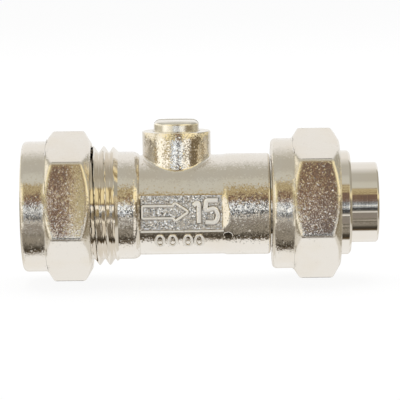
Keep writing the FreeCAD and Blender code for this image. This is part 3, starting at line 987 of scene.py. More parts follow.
def press_panel(places, sizes, side):
    """Sink a flat panel into one side of the waist, with a bevelled wall at each end."""
    normal = side * np.array([0, math.cos(sizes.panel_lean), math.sin(sizes.panel_lean)])
    along = places[:, 0]
    waist_end = sizes.waist_start + sizes.waist_length
    start = sizes.waist_start + sizes.panel_start
    end = waist_end - sizes.panel_end
    climb_in = (start - along) / sizes.panel_start_bevel * MM
    climb_out = (along - end) / sizes.panel_end_bevel * MM
    climb = -smooth_min(smooth_min(-climb_in, -climb_out, sizes.panel_round), 0, sizes.panel_round)
    reach = places @ normal
    limit = sizes.waist_radius - sizes.panel_depth + climb
    rise = np.abs(places @ np.cross(normal, ALONG))
    wall = np.clip((sizes.panel_half + sizes.panel_wall / 2 - rise) / sizes.panel_wall, 0, 1)
    pressed = reach - (reach - smooth_min(reach, limit, sizes.panel_round)) * wall
    outside = np.hypot(places[:, 1], places[:, 2]) > sizes.waist_radius - sizes.panel_depth
    near = outside & (along > start - 2 * sizes.panel_start_bevel) & (along < end + sizes.panel_end_bevel)
    places[near] += ((pressed - reach)[:, None] * normal)[near]


def dent_middle(sizes):
    """The middle of the small round dent at the low corner of the front panel."""
    out = sizes.tube_radius
    return Vector((sizes.dent_place, -out * math.cos(sizes.dent_angle), -out * math.sin(sizes.dent_angle)))


def press_dent(places, sizes):
    """Press that dent."""
    away = np.linalg.norm(places - np.array(dent_middle(sizes)), axis=1) / sizes.dent_radius
    depth = sizes.dent_depth * np.clip(1 - away ** 2, 0, None)
    places[:, 1:] *= (1 - depth / np.hypot(places[:, 1], places[:, 2]))[:, None]


def on_cylinder(co, radius):
    """The point moved out to a cylinder about the waterway axis."""
    share = radius / math.hypot(co.y, co.z)
    return Vector((co.x, co.y * share, co.z * share))


def raise_boss(sizes):
    """Open the waist and the cavity and join them by the boss, its top and its stepped bore."""
    foot = sizes.boss_radius + sizes.boss_root
    window_end = STEM_X + foot + WINDOW_MARGIN
    half = math.asin(foot / sizes.waist_radius) + WINDOW_TURN
    skin, chord = 0.97 * sizes.waist_radius, 0.93 * sizes.waist_radius
    cavity_low, cavity_high = 0.95 * sizes.cavity_radius, 1.01 * sizes.cavity_radius

    def over_boss(co):
        return sizes.waist_start < co.x < window_end and abs(math.atan2(co.y, co.z)) < half

    select_faces(lambda co, normal: over_boss(co) and math.hypot(co.y, co.z) > skin)
    bpy.ops.mesh.delete(type="FACE")
    sides = select_rim()
    bpy.ops.mesh.primitive_circle_add(vertices=sides, radius=foot, location=(STEM_X, 0, 0))
    move_selected(lambda co: Vector((co.x, co.y, math.sqrt(sizes.waist_radius ** 2 - co.y ** 2))))
    select_rim()
    bpy.ops.mesh.bridge_edge_loops(number_cuts=ROOT_ROWS, interpolation="LINEAR")
    select_points(lambda co: over_boss(co) and math.hypot(co.y, co.z) > chord)
    move_selected(lambda co: on_cylinder(co, sizes.waist_radius))

    def ring(radius, height):
        """Pull the open rim on to a ring round the stem."""
        def place(co):
            turn = math.atan2(co.y, co.x - STEM_X)
            spot = Vector((STEM_X + radius * math.cos(turn), radius * math.sin(turn), 0))
            spot.z = height(spot)
            return spot
        select_rim()
        bpy.ops.mesh.extrude_region_move()
        move_selected(place)

    def saddle(radius):
        return lambda spot: math.sqrt(radius ** 2 - spot.y ** 2)

    def root_ring(share):
        """A ring of the fillet between the waist and the boss."""
        radius = sizes.boss_radius + sizes.boss_root * (1 - share) ** 2
        waist = saddle(sizes.waist_radius)
        ring(radius, lambda spot: waist(spot) + sizes.boss_root * share ** 2)

    top = BODY_HIGH.z
    for step in range(1, ROOT_ROWS + 1):
        root_ring(step / ROOT_ROWS)
    waist = saddle(sizes.waist_radius)
    for share in (0.33, 0.66):
        ring(
            sizes.boss_radius,
            lambda spot: waist(spot) + sizes.boss_root + (top - waist(spot) - sizes.boss_root) * share,
        )
    for radius, height in (
        (sizes.boss_radius, top - sizes.boss_edge),
        (sizes.boss_radius - 0.3 * sizes.boss_edge, top - 0.3 * sizes.boss_edge),
        (sizes.boss_radius - sizes.boss_edge, top),
        (sizes.stem_bore + sizes.boss_edge, top),
        (sizes.stem_bore, top - sizes.boss_edge),
        (sizes.stem_bore, sizes.pocket_height),
        (sizes.pocket_radius, sizes.pocket_height),
    ):
        ring(radius, lambda spot: height)
    ring(sizes.pocket_radius, saddle(sizes.cavity_radius))

    def over_pocket(co, normal):
        in_cavity = cavity_low < math.hypot(co.y, co.z) < cavity_high
        near = abs(co.x - STEM_X) < sizes.pocket_radius + POCKET_MARGIN
        return in_cavity and near and normal.z < 0 and abs(math.atan2(co.y, co.z)) < half

    select_faces(over_pocket)
    bpy.ops.mesh.delete(type="FACE")
    select_rim()
    bpy.ops.mesh.bridge_edge_loops()
    face_outward()


def body_outline(sizes):
    """The section of the body from the waterway axis out."""
    mouth, end = BODY_LOW.x, BODY_HIGH.x
    drop = sizes.barrel_radius - sizes.waist_radius
    arc = (sizes.barrel_round ** 2 + drop ** 2) / (2 * drop)
    arc_start = sizes.waist_start - sizes.barrel_round
    shoulder = []
    for step in range(SHOULDER_ROWS):
        along = sizes.barrel_round * step / SHOULDER_ROWS
        shoulder.append((arc_start + along, sizes.barrel_radius - arc + math.sqrt(arc ** 2 - along ** 2)))
    waist_end = sizes.waist_start + sizes.waist_length
    tube = waist_end + sizes.waist_bevel
    panel_reach = tube + sizes.panel_end_bevel
    corners = [
        (mouth, sizes.mouth_radius),
        (mouth, sizes.thread_radius),
        (mouth + sizes.thread_length, sizes.thread_radius),
        (mouth + sizes.thread_length + 2 * BODY_EDGE, sizes.barrel_radius),
        *shoulder,
        (sizes.waist_start, sizes.waist_radius),
        (waist_end, sizes.waist_radius),
        (tube, sizes.tube_radius),
        (panel_reach, sizes.tube_radius),
        (end, sizes.tube_radius, sizes.tube_round),
        (end, sizes.tail_bore, BODY_EDGE),
        (end - sizes.tail_depth, sizes.tail_bore),
        (end - sizes.tail_depth, sizes.cavity_radius),
        (sizes.cavity_start, sizes.cavity_radius),
        (sizes.cavity_start, sizes.port_radius),
        (0, sizes.port_radius, BODY_EDGE),
        (0, sizes.socket_radius),
        (mouth + sizes.mouth_depth, sizes.socket_radius),
    ]
    rows = [
        (corners[1], corners[2], THREAD_ROWS),
        ((sizes.waist_start, sizes.waist_radius), (waist_end, sizes.waist_radius), WAIST_ROWS),
        ((waist_end, sizes.waist_radius), (tube, sizes.tube_radius), BEVEL_ROWS),
        ((tube, sizes.tube_radius), (panel_reach, sizes.tube_radius), PANEL_END_ROWS),
        (
            (end - sizes.tail_depth, sizes.cavity_radius),
            (sizes.cavity_start, sizes.cavity_radius),
            CAVITY_ROWS,
        ),
    ]
    return corners, rows


class VALVE_OT_make_body(bpy.types.Operator):
    """Model the forged body with its inlet thread, boss and marking panels"""

    bl_idname = "valve.make_body"
    bl_label = "Body"

    def execute(self, context):
        sizes = context.scene.body_sizes
        corners, rows = body_outline(sizes)
        piece = lathe("forged_body", corners, BODY_STEPS, rows)
        places = points_of(piece)
        cut_thread(places, sizes)
        for side in (-1, 1):
            press_panel(places, sizes, side)
        press_dent(places, sizes)
        place_points(piece, places)
        bpy.ops.object.mode_set(mode="EDIT")
        raise_boss(sizes)
        bpy.ops.object.mode_set(mode="OBJECT")
        smooth(piece)
        finishes = (
            "blasted_plating",
            "turned_plating",
            "turned_upright_plating",
            "waist_plating",
            "panel_plating",
            "stained_plating",
        )
        dress(piece, "valve", finishes, "valve_body")
        self.paint_body(piece, sizes)
        return {"FINISHED"}

    @staticmethod
    def paint_body(piece, sizes):
        """Give the turned, drawn and sunken faces their finishes, and the dented faces their painted shade.
        """
        thread_end = BODY_LOW.x + sizes.thread_length
        waist_end = sizes.waist_start + sizes.waist_length
        foot = sizes.boss_radius + sizes.boss_root
        skin = 0.9 * sizes.waist_radius
        dent = dent_middle(sizes)

        def machined(co, normal):
            inward = normal.y * co.y + normal.z * co.z < 0
            outlet_end = co.x > BODY_HIGH.x - MERGE
            return co.x < thread_end or outlet_end or (inward and co.z < sizes.pocket_height)

        def boss_top(co, normal):
            return co.z > BODY_HIGH.z - MERGE

        def drawn(co, normal):
            boss = math.hypot(co.x - STEM_X, co.y) < foot and co.z > 0
            return sizes.waist_start < co.x < waist_end and not boss and math.hypot(co.y, co.z) > skin

        def on_panel(co, normal):
            leaning = abs(normal.y) > math.cos(2 * sizes.panel_lean)
            return drawn(co, normal) and leaning and abs(co.z) < sizes.panel_half + MM

        # Painted shade: the faces in the dent are coloured dark as if in shade
        def in_dent(co, normal):
            return (co - dent).length < 0.95 * sizes.dent_radius

        paint(piece, [machined, boss_top, drawn, on_panel, in_dent])


# Hexagon nuts


def make_nut(name, low, high, collar, inside, sizes, rows=(), shape=None):
    """Turn a nut blank, cut its six flats and round their edges."""
    length = high - low
    corner = sizes.flat_distance / math.cos(math.pi / HEX_SIDES)
    blank = corner + BLANK_MARGIN
    cone = (blank - sizes.collar_radius) * sizes.cone_length / (corner - sizes.collar_radius)
    chamfer = (blank - sizes.face_radius) * sizes.chamfer_length / (corner - sizes.face_radius)
    outside = [
        (0, sizes.collar_radius, sizes.collar_round),
        (collar, sizes.collar_radius, sizes.cone_round),
        (collar + cone, blank),
        (length - chamfer, blank),
        (length, sizes.face_radius, sizes.face_round),
    ]
    corners = [(low + place[0], *place[1:]) for place in outside + inside]
    shifted = [((low + start[0], start[1]), (low + end[0], end[1]), cuts) for start, end, cuts in rows]
    piece = lathe(name, corners, NUT_STEPS, shifted)
    if shape:
        places = points_of(piece)
        shape(places)
        place_points(piece, places)
    bpy.ops.object.mode_set(mode="EDIT")
    normals = []
    for side in range(HEX_SIDES):
        turn = sizes.turn + side * FULL_TURN / HEX_SIDES
        normals.append(Vector((0, -math.sin(turn), math.cos(turn))))
    for normal in normals:
        bpy.ops.mesh.select_all(action="SELECT")
        bpy.ops.mesh.bisect(
            plane_co=normal * sizes.flat_distance,
            plane_no=normal,
            use_fill=True,
            clear_outer=True,
            threshold=MERGE,
        )
    round_flats(normals, sizes)
    bpy.ops.object.mode_set(mode="OBJECT")
    smooth(piece)
    return piece


def round_flats(normals, sizes):
    """Round the edges of the six flats."""
    bpy.ops.mesh.select_mode(type="EDGE")
    bpy.ops.mesh.select_all(action="DESELECT")
    mesh = bmesh.from_edit_mesh(bpy.context.object.data)
    flats = set()
    for face in mesh.faces:
        middle = face.calc_center_median()
        for normal in normals:
            along_flat = face.normal.dot(normal) > 0.9999
            if along_flat and abs(middle.dot(normal) - sizes.flat_distance) < 10 * MERGE:
                flats.add(face)
    for flat in flats:
        for edge in flat.edges:
            edge.select_set(True)
    bmesh.update_edit_mesh(bpy.context.object.data)
    bpy.ops.mesh.bevel(
        offset=sizes.edge_round, segments=FLAT_EDGE_ROWS, profile=0.5, affect="EDGES", clamp_overlap=False
    )
    bpy.ops.mesh.select_mode(type="VERT")
    face_outward()


class VALVE_OT_make_nuts(bpy.types.Operator):
    """Model the compression nut and the swivel nut"""

    bl_idname = "valve.make_nuts"
    bl_label = "Nuts"

    def execute(self, context):
        sizes = context.scene.nut_sizes
        body = context.scene.body_sizes
        self.make_compression_nut(sizes)
        self.make_swivel_nut(sizes, body)
        return {"FINISHED"}

    def make_compression_nut(self, sizes):
        low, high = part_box("compression_nut")
        length = high.x - low.x
        cone_end = sizes.compression_lip + sizes.compression_cone
        inside = [
            (length, sizes.compression_bore, sizes.compression_mouth),
            (cone_end, sizes.compression_bore),
            (cone_end, sizes.compression_hole + sizes.compression_rise),
            (sizes.compression_lip, sizes.compression_hole),
            (0, sizes.compression_hole, sizes.compression_edge),
        ]
        piece = make_nut("hex_compression_nut", low.x, high.x, sizes.compression_collar, inside, sizes)
        self.finish_nut(piece, "inlet_nut", "compression_nut")

    def make_swivel_nut(self, sizes, body):
        low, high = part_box("swivel_nut")
        length = high.x - low.x
        inside = [
            (length, body.thread_radius),
            (length - body.thread_depth, sizes.swivel_crest),
            (sizes.swivel_shoulder, sizes.swivel_crest),
            (sizes.swivel_shoulder, sizes.swivel_hole),
            (0, sizes.swivel_hole, sizes.swivel_edge),
        ]
        rows = [(inside[1], inside[2], SWIVEL_THREAD_ROWS)]

        def cut_own_thread(places):
            """Cut the nut's thread, which fades out at both ends."""
            along, across, up = places.T
            reach = np.hypot(across, up)
            at_crest = np.abs(reach - sizes.swivel_crest) < 10 * MERGE
            turn = np.arctan2(-across, up)
            height = thread_height(along, turn, body.thread_pitch, body.thread_crest)
            fade = np.clip((along - low.x - sizes.swivel_shoulder) / body.thread_pitch, 0, 1)
            fade *= np.clip((high.x - body.thread_depth - along) / THREAD_RUN_OUT, 0, 1)
            radius = reach + sizes.swivel_depth * body.thread_depth * height * fade
            places[at_crest, 1:] *= (radius / reach)[at_crest, None]

        piece = make_nut(
            "hex_swivel_nut", low.x, high.x, sizes.swivel_collar, inside, sizes, rows, cut_own_thread
        )
        self.finish_nut(piece, "outlet_nut", "swivel_nut")

    @staticmethod
    def finish_nut(piece, body, node):
        dress(piece, body, [f"tumbled_{node}", "turned_plating"], node)
        open_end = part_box(node)[1].x

        def machined(co, normal):
            return normal.y * co.y + normal.z * co.z < 0 or co.x > open_end - MERGE

        paint(piece, [machined])


# Turned pieces


class VALVE_OT_make_tail(bpy.types.Operator):
    """Model the outlet tail with its flange and nose"""

    bl_idname = "valve.make_tail"
    bl_label = "Outlet tail"

    def execute(self, context):
        sizes = context.scene.turned_sizes
        port = context.scene.body_sizes.port_radius
        seat = BODY_HIGH.x
        flange = seat + sizes.neck_length
        face = flange + sizes.flange_thickness
        fine = TAIL_EDGE
        edge = sizes.flange_edge
        end = TAIL_HIGH.x
        corners = [
            (TAIL_LOW.x, port),
            (TAIL_LOW.x, sizes.pilot_radius),
            (TAIL_LOW.x + sizes.pilot_length, sizes.pilot_radius),
            (TAIL_LOW.x + sizes.pilot_length, sizes.tail_radius),
            (seat, sizes.tail_radius),
            (seat, sizes.neck_radius, fine),
            (flange, sizes.neck_radius, 3 * fine),
            (flange, sizes.flange_radius - edge, 2 * fine),
            (flange + edge, sizes.flange_radius, 2 * fine),
            (face - edge, sizes.flange_radius, 2 * fine),
            (face, sizes.flange_radius - edge, 2 * fine),
            (face, sizes.nose_radius, fine),
            (end - sizes.nose_edge, sizes.nose_radius, 2 * fine),
            (end, sizes.nose_radius - sizes.nose_edge, fine),
            (end, port + sizes.nose_edge, fine),
            (end - sizes.nose_edge, port, fine),
        ]
        piece = lathe("turned_tail", corners, TAIL_STEPS)
        smooth(piece)
        dress(piece, "valve", ["turned_plating"], "outlet_tail")
        return {"FINISHED"}


class VALVE_OT_make_stem(bpy.types.Operator):
    """Model the stem with its ring grooves, screwdriver slot and tang"""

    bl_idname = "valve.make_stem"
    bl_label = "Stem"

    def execute(self, context):
        sizes = context.scene.turned_sizes
        top = STEM_HIGH.z
        radius = sizes.stem_radius
        outline = [
            (0, sizes.shoulder_low),
            (sizes.shoulder_radius, sizes.shoulder_low),
            (sizes.shoulder_radius, sizes.shoulder_high),
            (radius, sizes.shoulder_high),
        ]
        for node in ("stem_o_ring_lower", "stem_o_ring_upper"):
            low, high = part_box(node)
            middle = (low.z + high.z) / 2
            half = sizes.groove_width / 2
            outline += [
                (radius, middle - half),
                (sizes.groove_radius, middle - half),
                (sizes.groove_radius, middle + half),
                (radius, middle + half),
            ]
        outline += [
            (radius, top - sizes.stem_chamfer_height, sizes.stem_round),
            (radius - sizes.stem_chamfer_width, top, sizes.stem_round),
            (0, top),
        ]
        piece = start_piece("slotted_stem")
        draw_line([(STEM_X + point.x, 0, point.y) for point in rounded(outline, closed=False)])
        turn_outline((STEM_X, 0, 0), UPRIGHT, SMALL_STEPS)
        bpy.ops.object.mode_set(mode="OBJECT")
        reach = 2 * sizes.shoulder_radius
        half = sizes.slot_width / 2
        slot_low = Vector((STEM_X - reach, -half, top - sizes.slot_depth))
        combine(piece, add_block(slot_low, Vector((STEM_X + reach, half, top + reach))), "DIFFERENCE")
        edge_low = Vector((STEM_X - reach, -half, top - sizes.slot_edge))
        edge_high = Vector((STEM_X + reach, half, top + sizes.slot_edge))
        combine(piece, add_block(edge_low, edge_high, 2 * sizes.slot_edge), "DIFFERENCE")
        tang = Vector((sizes.tang_thickness / 2, sizes.tang_length / 2, 0))
        tang_low = Vector((STEM_X - tang.x, -tang.y, STEM_LOW.z))
        tang_high = Vector((STEM_X + tang.x, tang.y, (sizes.shoulder_low + sizes.shoulder_high) / 2))
        combine(piece, add_block(tang_low, tang_high), "UNION")
        smooth(piece)
        dress(piece, "ball_and_stem", ["turned_upright_plating"], "stem")
        return {"FINISHED"}


class VALVE_OT_make_olive(bpy.types.Operator):
    """Model the compression ring"""

    bl_idname = "valve.make_olive"
    bl_label = "Olive"

    def execute(self, context):
        sizes = context.scene.turned_sizes
        middle = (OLIVE_LOW.x + OLIVE_HIGH.x) / 2
        fine = OLIVE_EDGE
        corners = [
            (OLIVE_LOW.x, sizes.olive_bore, fine),
            (OLIVE_LOW.x, sizes.olive_end_radius, fine),
            (middle, sizes.olive_radius, sizes.olive_round),
            (OLIVE_HIGH.x, sizes.olive_end_radius, fine),
            (OLIVE_HIGH.x, sizes.olive_bore, fine),
        ]
        piece = lathe("brass_olive", corners, SMALL_STEPS)
        smooth(piece)
        dress(piece, "olive_ring", ["bare_brass"], "olive")
        return {"FINISHED"}


class VALVE_OT_finish_inside(bpy.types.Operator):
    """Finish the ball, the seats, the thrust washer and the ring seals"""

    bl_idname = "valve.finish_inside"
    bl_label = "Inner pieces"

    def execute(self, context):
        finishes = {
            "ball": "polished_ball",
            "inlet_seat": "sintered_seat",
            "outlet_seat": "sintered_seat",
            "stem_thrust_washer": "sintered_seat",
            "stem_o_ring_lower": "rubber_seal",
            "stem_o_ring_upper": "rubber_seal",
        }
        for node, name in finishes.items():
            cover(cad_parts[node], [name])
        return {"FINISHED"}


# Raised marks


def panel_point(along, rise, body, marks):
    """A point on the front panel, a little under its face."""
    lean = body.panel_lean
    depth = body.waist_radius - body.panel_depth - marks.sink
    return (
        along,
        -depth * math.cos(lean) - rise * math.sin(lean),
        -depth * math.sin(lean) + rise * math.cos(lean),
    )


def flatten(piece, height, top, soft):
    """Flatten the crests of raised lines at a height over the face they stand on."""
    places = points_of(piece)
    over, outward = height(places)
    lower = smooth_min(over, top, soft)
    place_points(piece, places + (lower - over)[:, None] * outward)


def raise_line(name, strokes, line):
    """Raise round lines along strokes of points; a stroke that ends where it starts is a loop."""
    piece = start_piece(name)
    for place, stroke in enumerate(strokes):
        if place:
            bpy.ops.mesh.primitive_plane_add(size=MM)
            bpy.ops.mesh.merge(type="CENTER")
        draw_line(stroke)
    weld()
    bpy.ops.object.mode_set(mode="OBJECT")
    bpy.ops.object.convert(target="CURVE")
    curve = bpy.context.object
    curve.data.bevel_depth = line
    curve.data.bevel_resolution = LINE_ROWS
    curve.data.use_fill_caps = True
    bpy.ops.object.convert(target="MESH")
    made = bpy.context.object
    bpy.ops.object.mode_set(mode="EDIT")
    face_outward()
    bpy.ops.object.mode_set(mode="OBJECT")
    bpy.ops.object.shade_smooth()
    return made


class VALVE_OT_raise_marks(bpy.types.Operator):
    """Raise the panel's lip, the flow arrow, the size number and the rings under the panel"""

    bl_idname = "valve.raise_marks"
    bl_label = "Raised marks"

    def execute(self, context):
        body = context.scene.body_sizes
        marks = context.scene.marking_sizes
        soft = MARK_SOFT

        def on_panel(corners, closed=False):
            points = rounded(corners, closed)
            if closed:
                points.append(points[0])
            return [panel_point(point.x, point.y + marks.lift, body, marks) for point in points]

        def over_panel(places):
            outward = np.array([0, -math.cos(body.panel_lean), -math.sin(body.panel_lean)])
            return places @ outward - body.waist_radius + body.panel_depth, outward

        def over_waist(places):
            reach = np.hypot(places[:, 1], places[:, 2])
            return reach - body.waist_radius, places * (0, 1, 1) / reach[:, None]

        shaft, head = marks.shaft_half, marks.head_half
        arrow = [
            (marks.arrow_start, shaft, soft),
            (marks.arrow_neck, shaft, soft),
            (marks.arrow_neck + soft, head, soft),
            (marks.arrow_tip, 0, soft),
            (marks.arrow_neck + soft, -head, soft),
            (marks.arrow_neck, -shaft, soft),
            (marks.arrow_start, -shaft, soft),
        ]
        left, tall = marks.figure_start, marks.figure_half
        upright = left + marks.one_width
        one = [(left, 0.55 * tall), (upright, tall, marks.one_round), (upright, -tall)]
        five_left, five_right = left + marks.five_start, left + marks.five_end
        five = [
            (five_right, tall),
            (five_left + 0.2 * MM, tall, soft),
            (five_left, 0.1 * tall, soft),
            (five_right - 0.5 * MM, 0.35 * tall, 0.6 * MM),
            (five_right + 0.1 * MM, -0.35 * tall, 0.9 * MM),
            (five_right - 0.4 * MM, -tall, 0.8 * MM),
            (five_left, -0.95 * tall),
        ]
        lip_low = body.waist_start + body.panel_start
        lip_high = body.waist_start + body.waist_length
        lip_rise = -body.panel_half - marks.lift
        lip = [(lip_low, lip_rise), (lip_high, lip_rise)]
        rings = self.ring_strokes(body, marks)
        for name, strokes, line, stand, over in (
            ("raised_lip", [on_panel(lip)], marks.lip_line, 1.0, over_panel),
            ("raised_arrow", [on_panel(arrow, True)], marks.arrow_line, 1.0, over_panel),
            ("raised_number", [on_panel(one), on_panel(five)], marks.number_line, 1.0, over_panel),
            ("raised_rings", rings, marks.pip_line, marks.pip_stand, over_waist),
        ):
            piece = raise_line(name, strokes, line * marks.line)
            flatten(piece, over, stand * marks.stand, marks.line / 2)
            # The tops of the marks are painted lighter as a highlight; their flanks keep the blasted plating
            dress(piece, "valve", ["rubbed_plating", "blasted_plating"])

            def flank(co, normal):
                outward = over(np.array([co]))[1].reshape(3)
                return normal.dot(Vector(outward)) < 0.75

            paint(piece, [flank])
        return {"FINISHED"}

    @staticmethod
    def ring_strokes(body, marks):
        """Four plain rings in a row on the waist under the panel, each with a dot in it."""
        radius = body.waist_radius - marks.sink

        def on_waist(along, turn):
            return along, -radius * math.cos(turn), radius * math.sin(turn)

        strokes = []
        for middle in RING_PLACES:
            ring = []
            for step in range(RING_STEPS + 1):
                turn = FULL_TURN * step / RING_STEPS
                rise = marks.pip_tall * math.sin(turn) / body.waist_radius
                ring.append(on_waist(middle + marks.pip_half * math.cos(turn), marks.pip_angle + rise))
            dot = [on_waist(middle, marks.pip_angle + side * RING_DOT_TURN) for side in (-1, 1)]
            strokes += [ring, dot]
        return strokes


# Stage

WHITE = (1.0, 1.0, 1.0)
CREAM = (0.84, 0.81, 0.76)
PALE = (0.78, 0.75, 0.69)
DUSK = (0.34, 0.3, 0.22)
STRAW = (0.4, 0.36, 0.27)
GOLD = (0.95, 0.82, 0.52)
SUNNY = (1.2, 1.06, 0.68)
IVORY = (1.15, 1.1, 0.95)
GLARE = (1.45, 1.42, 1.32)
STRIP = (1.5, 1.52, 1.5)
BRIGHT = (1.3, 1.28, 1.2)
CARD_SOFT = 3.0
CARD_SOFT_SHARE = 6

# Where the shades at the valve's ends show: two bounds and their softness, aside from the front and in height
END_BEARINGS = (78, 138, 3)
END_LEVELS = (-62, 56, 2)

# Shades of the tent over the valve, by degrees up from the front
ARCH_SHADES = (
    (-180, CREAM),
    (-172, (0.85, 0.82, 0.78)),
    (-162, (0.8, 0.77, 0.72)),
    (-154, (0.84, 0.82, 0.78)),
    (-144, WHITE),
    (-87, WHITE),
    (-83, (0.16, 0.11, 0.05)),
    (-78, (0.05, 0.04, 0.03)),
    (-70, (0.08, 0.07, 0.055)),
    (-65, (0.26, 0.235, 0.2)),
    (-54, (0.29, 0.26, 0.225)),
    (-38, (0.31, 0.275, 0.245)),
    (-22, (0.28, 0.26, 0.23)),
    (-14, (0.34, 0.335, 0.33)),
    (6, (0.42, 0.41, 0.4)),
    (10, (0.27, 0.16, 0.1)),
    (25, (0.31, 0.195, 0.115)),
    (31, (0.45, 0.35, 0.18)),
    (43, (0.5, 0.42, 0.26)),
    (48, (0.67, 0.66, 0.6)),
    (62, (0.65, 0.64, 0.575)),
    (70, (0.55, 0.53, 0.475)),
    (94, (0.555, 0.535, 0.475)),
    (122, (0.97, 0.96, 0.95)),
    (168, WHITE),
    (174, (0.97, 0.96, 0.94)),
    (180, CREAM),
)

# Shades of the tent at both ends of the valve, by degrees of height
SIDE_SHADES = (
    (-60, WHITE),
    (-57, PALE),
    (-24, PALE),
    (-21, DUSK),
    (-14, DUSK),
    (-10, STRAW),
    (1, STRAW),
    (4, GOLD),
    (8, GOLD),
    (11, (0.42, 0.4, 0.33)),
    (28, (0.46, 0.44, 0.38)),
    (52, (0.6, 0.585, 0.53)),
)

# Mottles: scale, detail and roughness
MOTTLES = {"specks": (18.0, 2.0, 0.6), "blots": (11.0, 2.0, 0.6)}

# Mottled papers: the mottle, where it turns from the first shade to the second, and both shades
LEAVES = {
    "gold": ("specks", (0.42, 0.58), (0.24, 0.165, 0.08), (0.76, 0.66, 0.41)),
    "green": ("specks", (0.42, 0.58), (0.26, 0.21, 0.11), (0.82, 0.73, 0.47)),
    "silver": ("specks", (0.45, 0.52), (0.05, 0.05, 0.055), (1.3, 1.44, 1.62)),
    "dim": ("specks", (0.525, 0.565), (0.035, 0.035, 0.04), (1.05, 1.14, 1.26)),
    "low": ("blots", (0.44, 0.58), (0.11, 0.095, 0.075), (0.54, 0.5, 0.43)),
    "streak": ("blots", (0.42, 0.54), (0.16, 0.15, 0.13), (1.15, 1.15, 1.1)),
}

# Cards on the tent, each over those before it: degrees aside from the front, degrees of height, paper
CARDS = (
    ((-78, -1.2), (4, 30), "green"),
    ((9, 78), (9, 30), (0.44, 0.37, 0.22)),
    ((-64, -22), (10, 36), SUNNY),
    ((20, 64), (10, 36), SUNNY),
    ((-60, -22), (-60, -30), (0.3, 0.27, 0.23)),
    ((22, 60), (-60, -30), (0.95, 0.92, 0.86)),
    ((64, 80), (8, 26), (1.2, 1.1, 0.82)),
    ((-140, -80), (4, 26), IVORY),
    ((-16, 22), (28, 44), "gold"),
    ((-1.2, 2.4), (5, 27), (0.38, 0.225, 0.13)),
    ((2.0, 12), (5, 27), (0.17, 0.118, 0.1)),
    ((-74, -46), (-24, 26), IVORY),
    ((-46, -17), (-16, 9), "gold"),
    ((44, 90), (-16, 7), (0.2, 0.155, 0.095)),
    ((-17, 40), (-17, -10), "dim"),
    ((-17, 40), (-10, 6), "silver"),
    ((20, 44), (-20, -6), (0.4, 0.34, 0.24)),
    ((20, 44), (-4, 4), GLARE),
    ((-64, -22), (-3, 4), GLARE),
    ((-64, -20), (-29, -23), BRIGHT),
    ((20, 64), (-29, -23), BRIGHT),
    ((-2.6, -0.2), (-10, 13), (1.3, 1.34, 1.38)),
    ((-20, 20), (-66, -40), "low"),
    ((-9, -2.6), (-44, -24), "streak"),
    ((2.2, 12), (0.5, 7), (0.1, 0.085, 0.075)),
    ((2.2, 12), (-18, -9), (0.05, 0.05, 0.05)),
    ((2.6, 7), (-10, 1), (0.07, 0.07, 0.07)),
    ((-7, 2.4), (-6.4, -2.6), STRIP),
    ((8, 24), (-6.4, -2.6), STRIP),
    ((-20, 20), (-24, -21), (1.0, 0.98, 0.93)),
)


def hide_from(thing, *rays):
    for ray in rays:
        setattr(thing, f"visible_{ray}", False)


def set_world(look):
    """Plain white for what the camera and the polish see, and soft light for the rest."""
    world = bpy.data.worlds.new("studio")
    bpy.context.scene.world = world
    tree = Tree(world)
    rays = tree.rays()
    seen = rays["Is Camera Ray"].then("MAXIMUM", rays["Is Glossy Ray"])
    seen = seen.then("MAXIMUM", rays["Is Transmission Ray"])
    light = tree.tree.nodes["Background"]
    light.inputs["Color"].default_value = (*WHITE, 1)
    tree.feed(light.inputs["Strength"], seen * (1 - look.world_strength) + look.world_strength)


def add_floor(look):
    """A plain pale floor that keeps the valve's shadow and fades to the white behind it."""
    bpy.ops.object.select_all(action="DESELECT")
    bpy.ops.mesh.primitive_plane_add(size=look.floor_size, location=(0, 0, 0))
    floor = bpy.context.object
    floor.name = "floor"
    bpy.ops.object.mode_set(mode="EDIT")
    bpy.ops.transform.translate(value=(0, 0, CAD_BOX[0][2] - look.floor_gap))
    bpy.ops.object.mode_set(mode="OBJECT")
    finish = Finish("floor_paint")
    finish.set(Base_Color=tuple(look.floor_colour), Roughness=0.9)
    rays = finish.rays()
    seen = (rays["Is Camera Ray"] * look.floor_glow).then("MAXIMUM", rays["Is Glossy Ray"])
    seen = seen.then("MAXIMUM", rays["Is Transmission Ray"])
    white = finish.node("ShaderNodeEmission", None, {"Color": (*WHITE, 1), "Strength": 1.0})
    paint_shader = Wire(finish, finish.shader.outputs[0])
    finish.show(finish.node("ShaderNodeMixShader", None, {0: seen, 1: paint_shader, 2: white}))
    floor.data.materials.append(finish.material)
    hide_from(floor, "glossy")


def shades_at(finish, value, stops):
    """Shades at angles between -180 and 180 degrees."""
    places = [((at + 180) / 360, shade) for at, shade in stops]
    return finish.node("ShaderNodeValToRGB", {"stops": places}, {0: (value + 180) / 360})


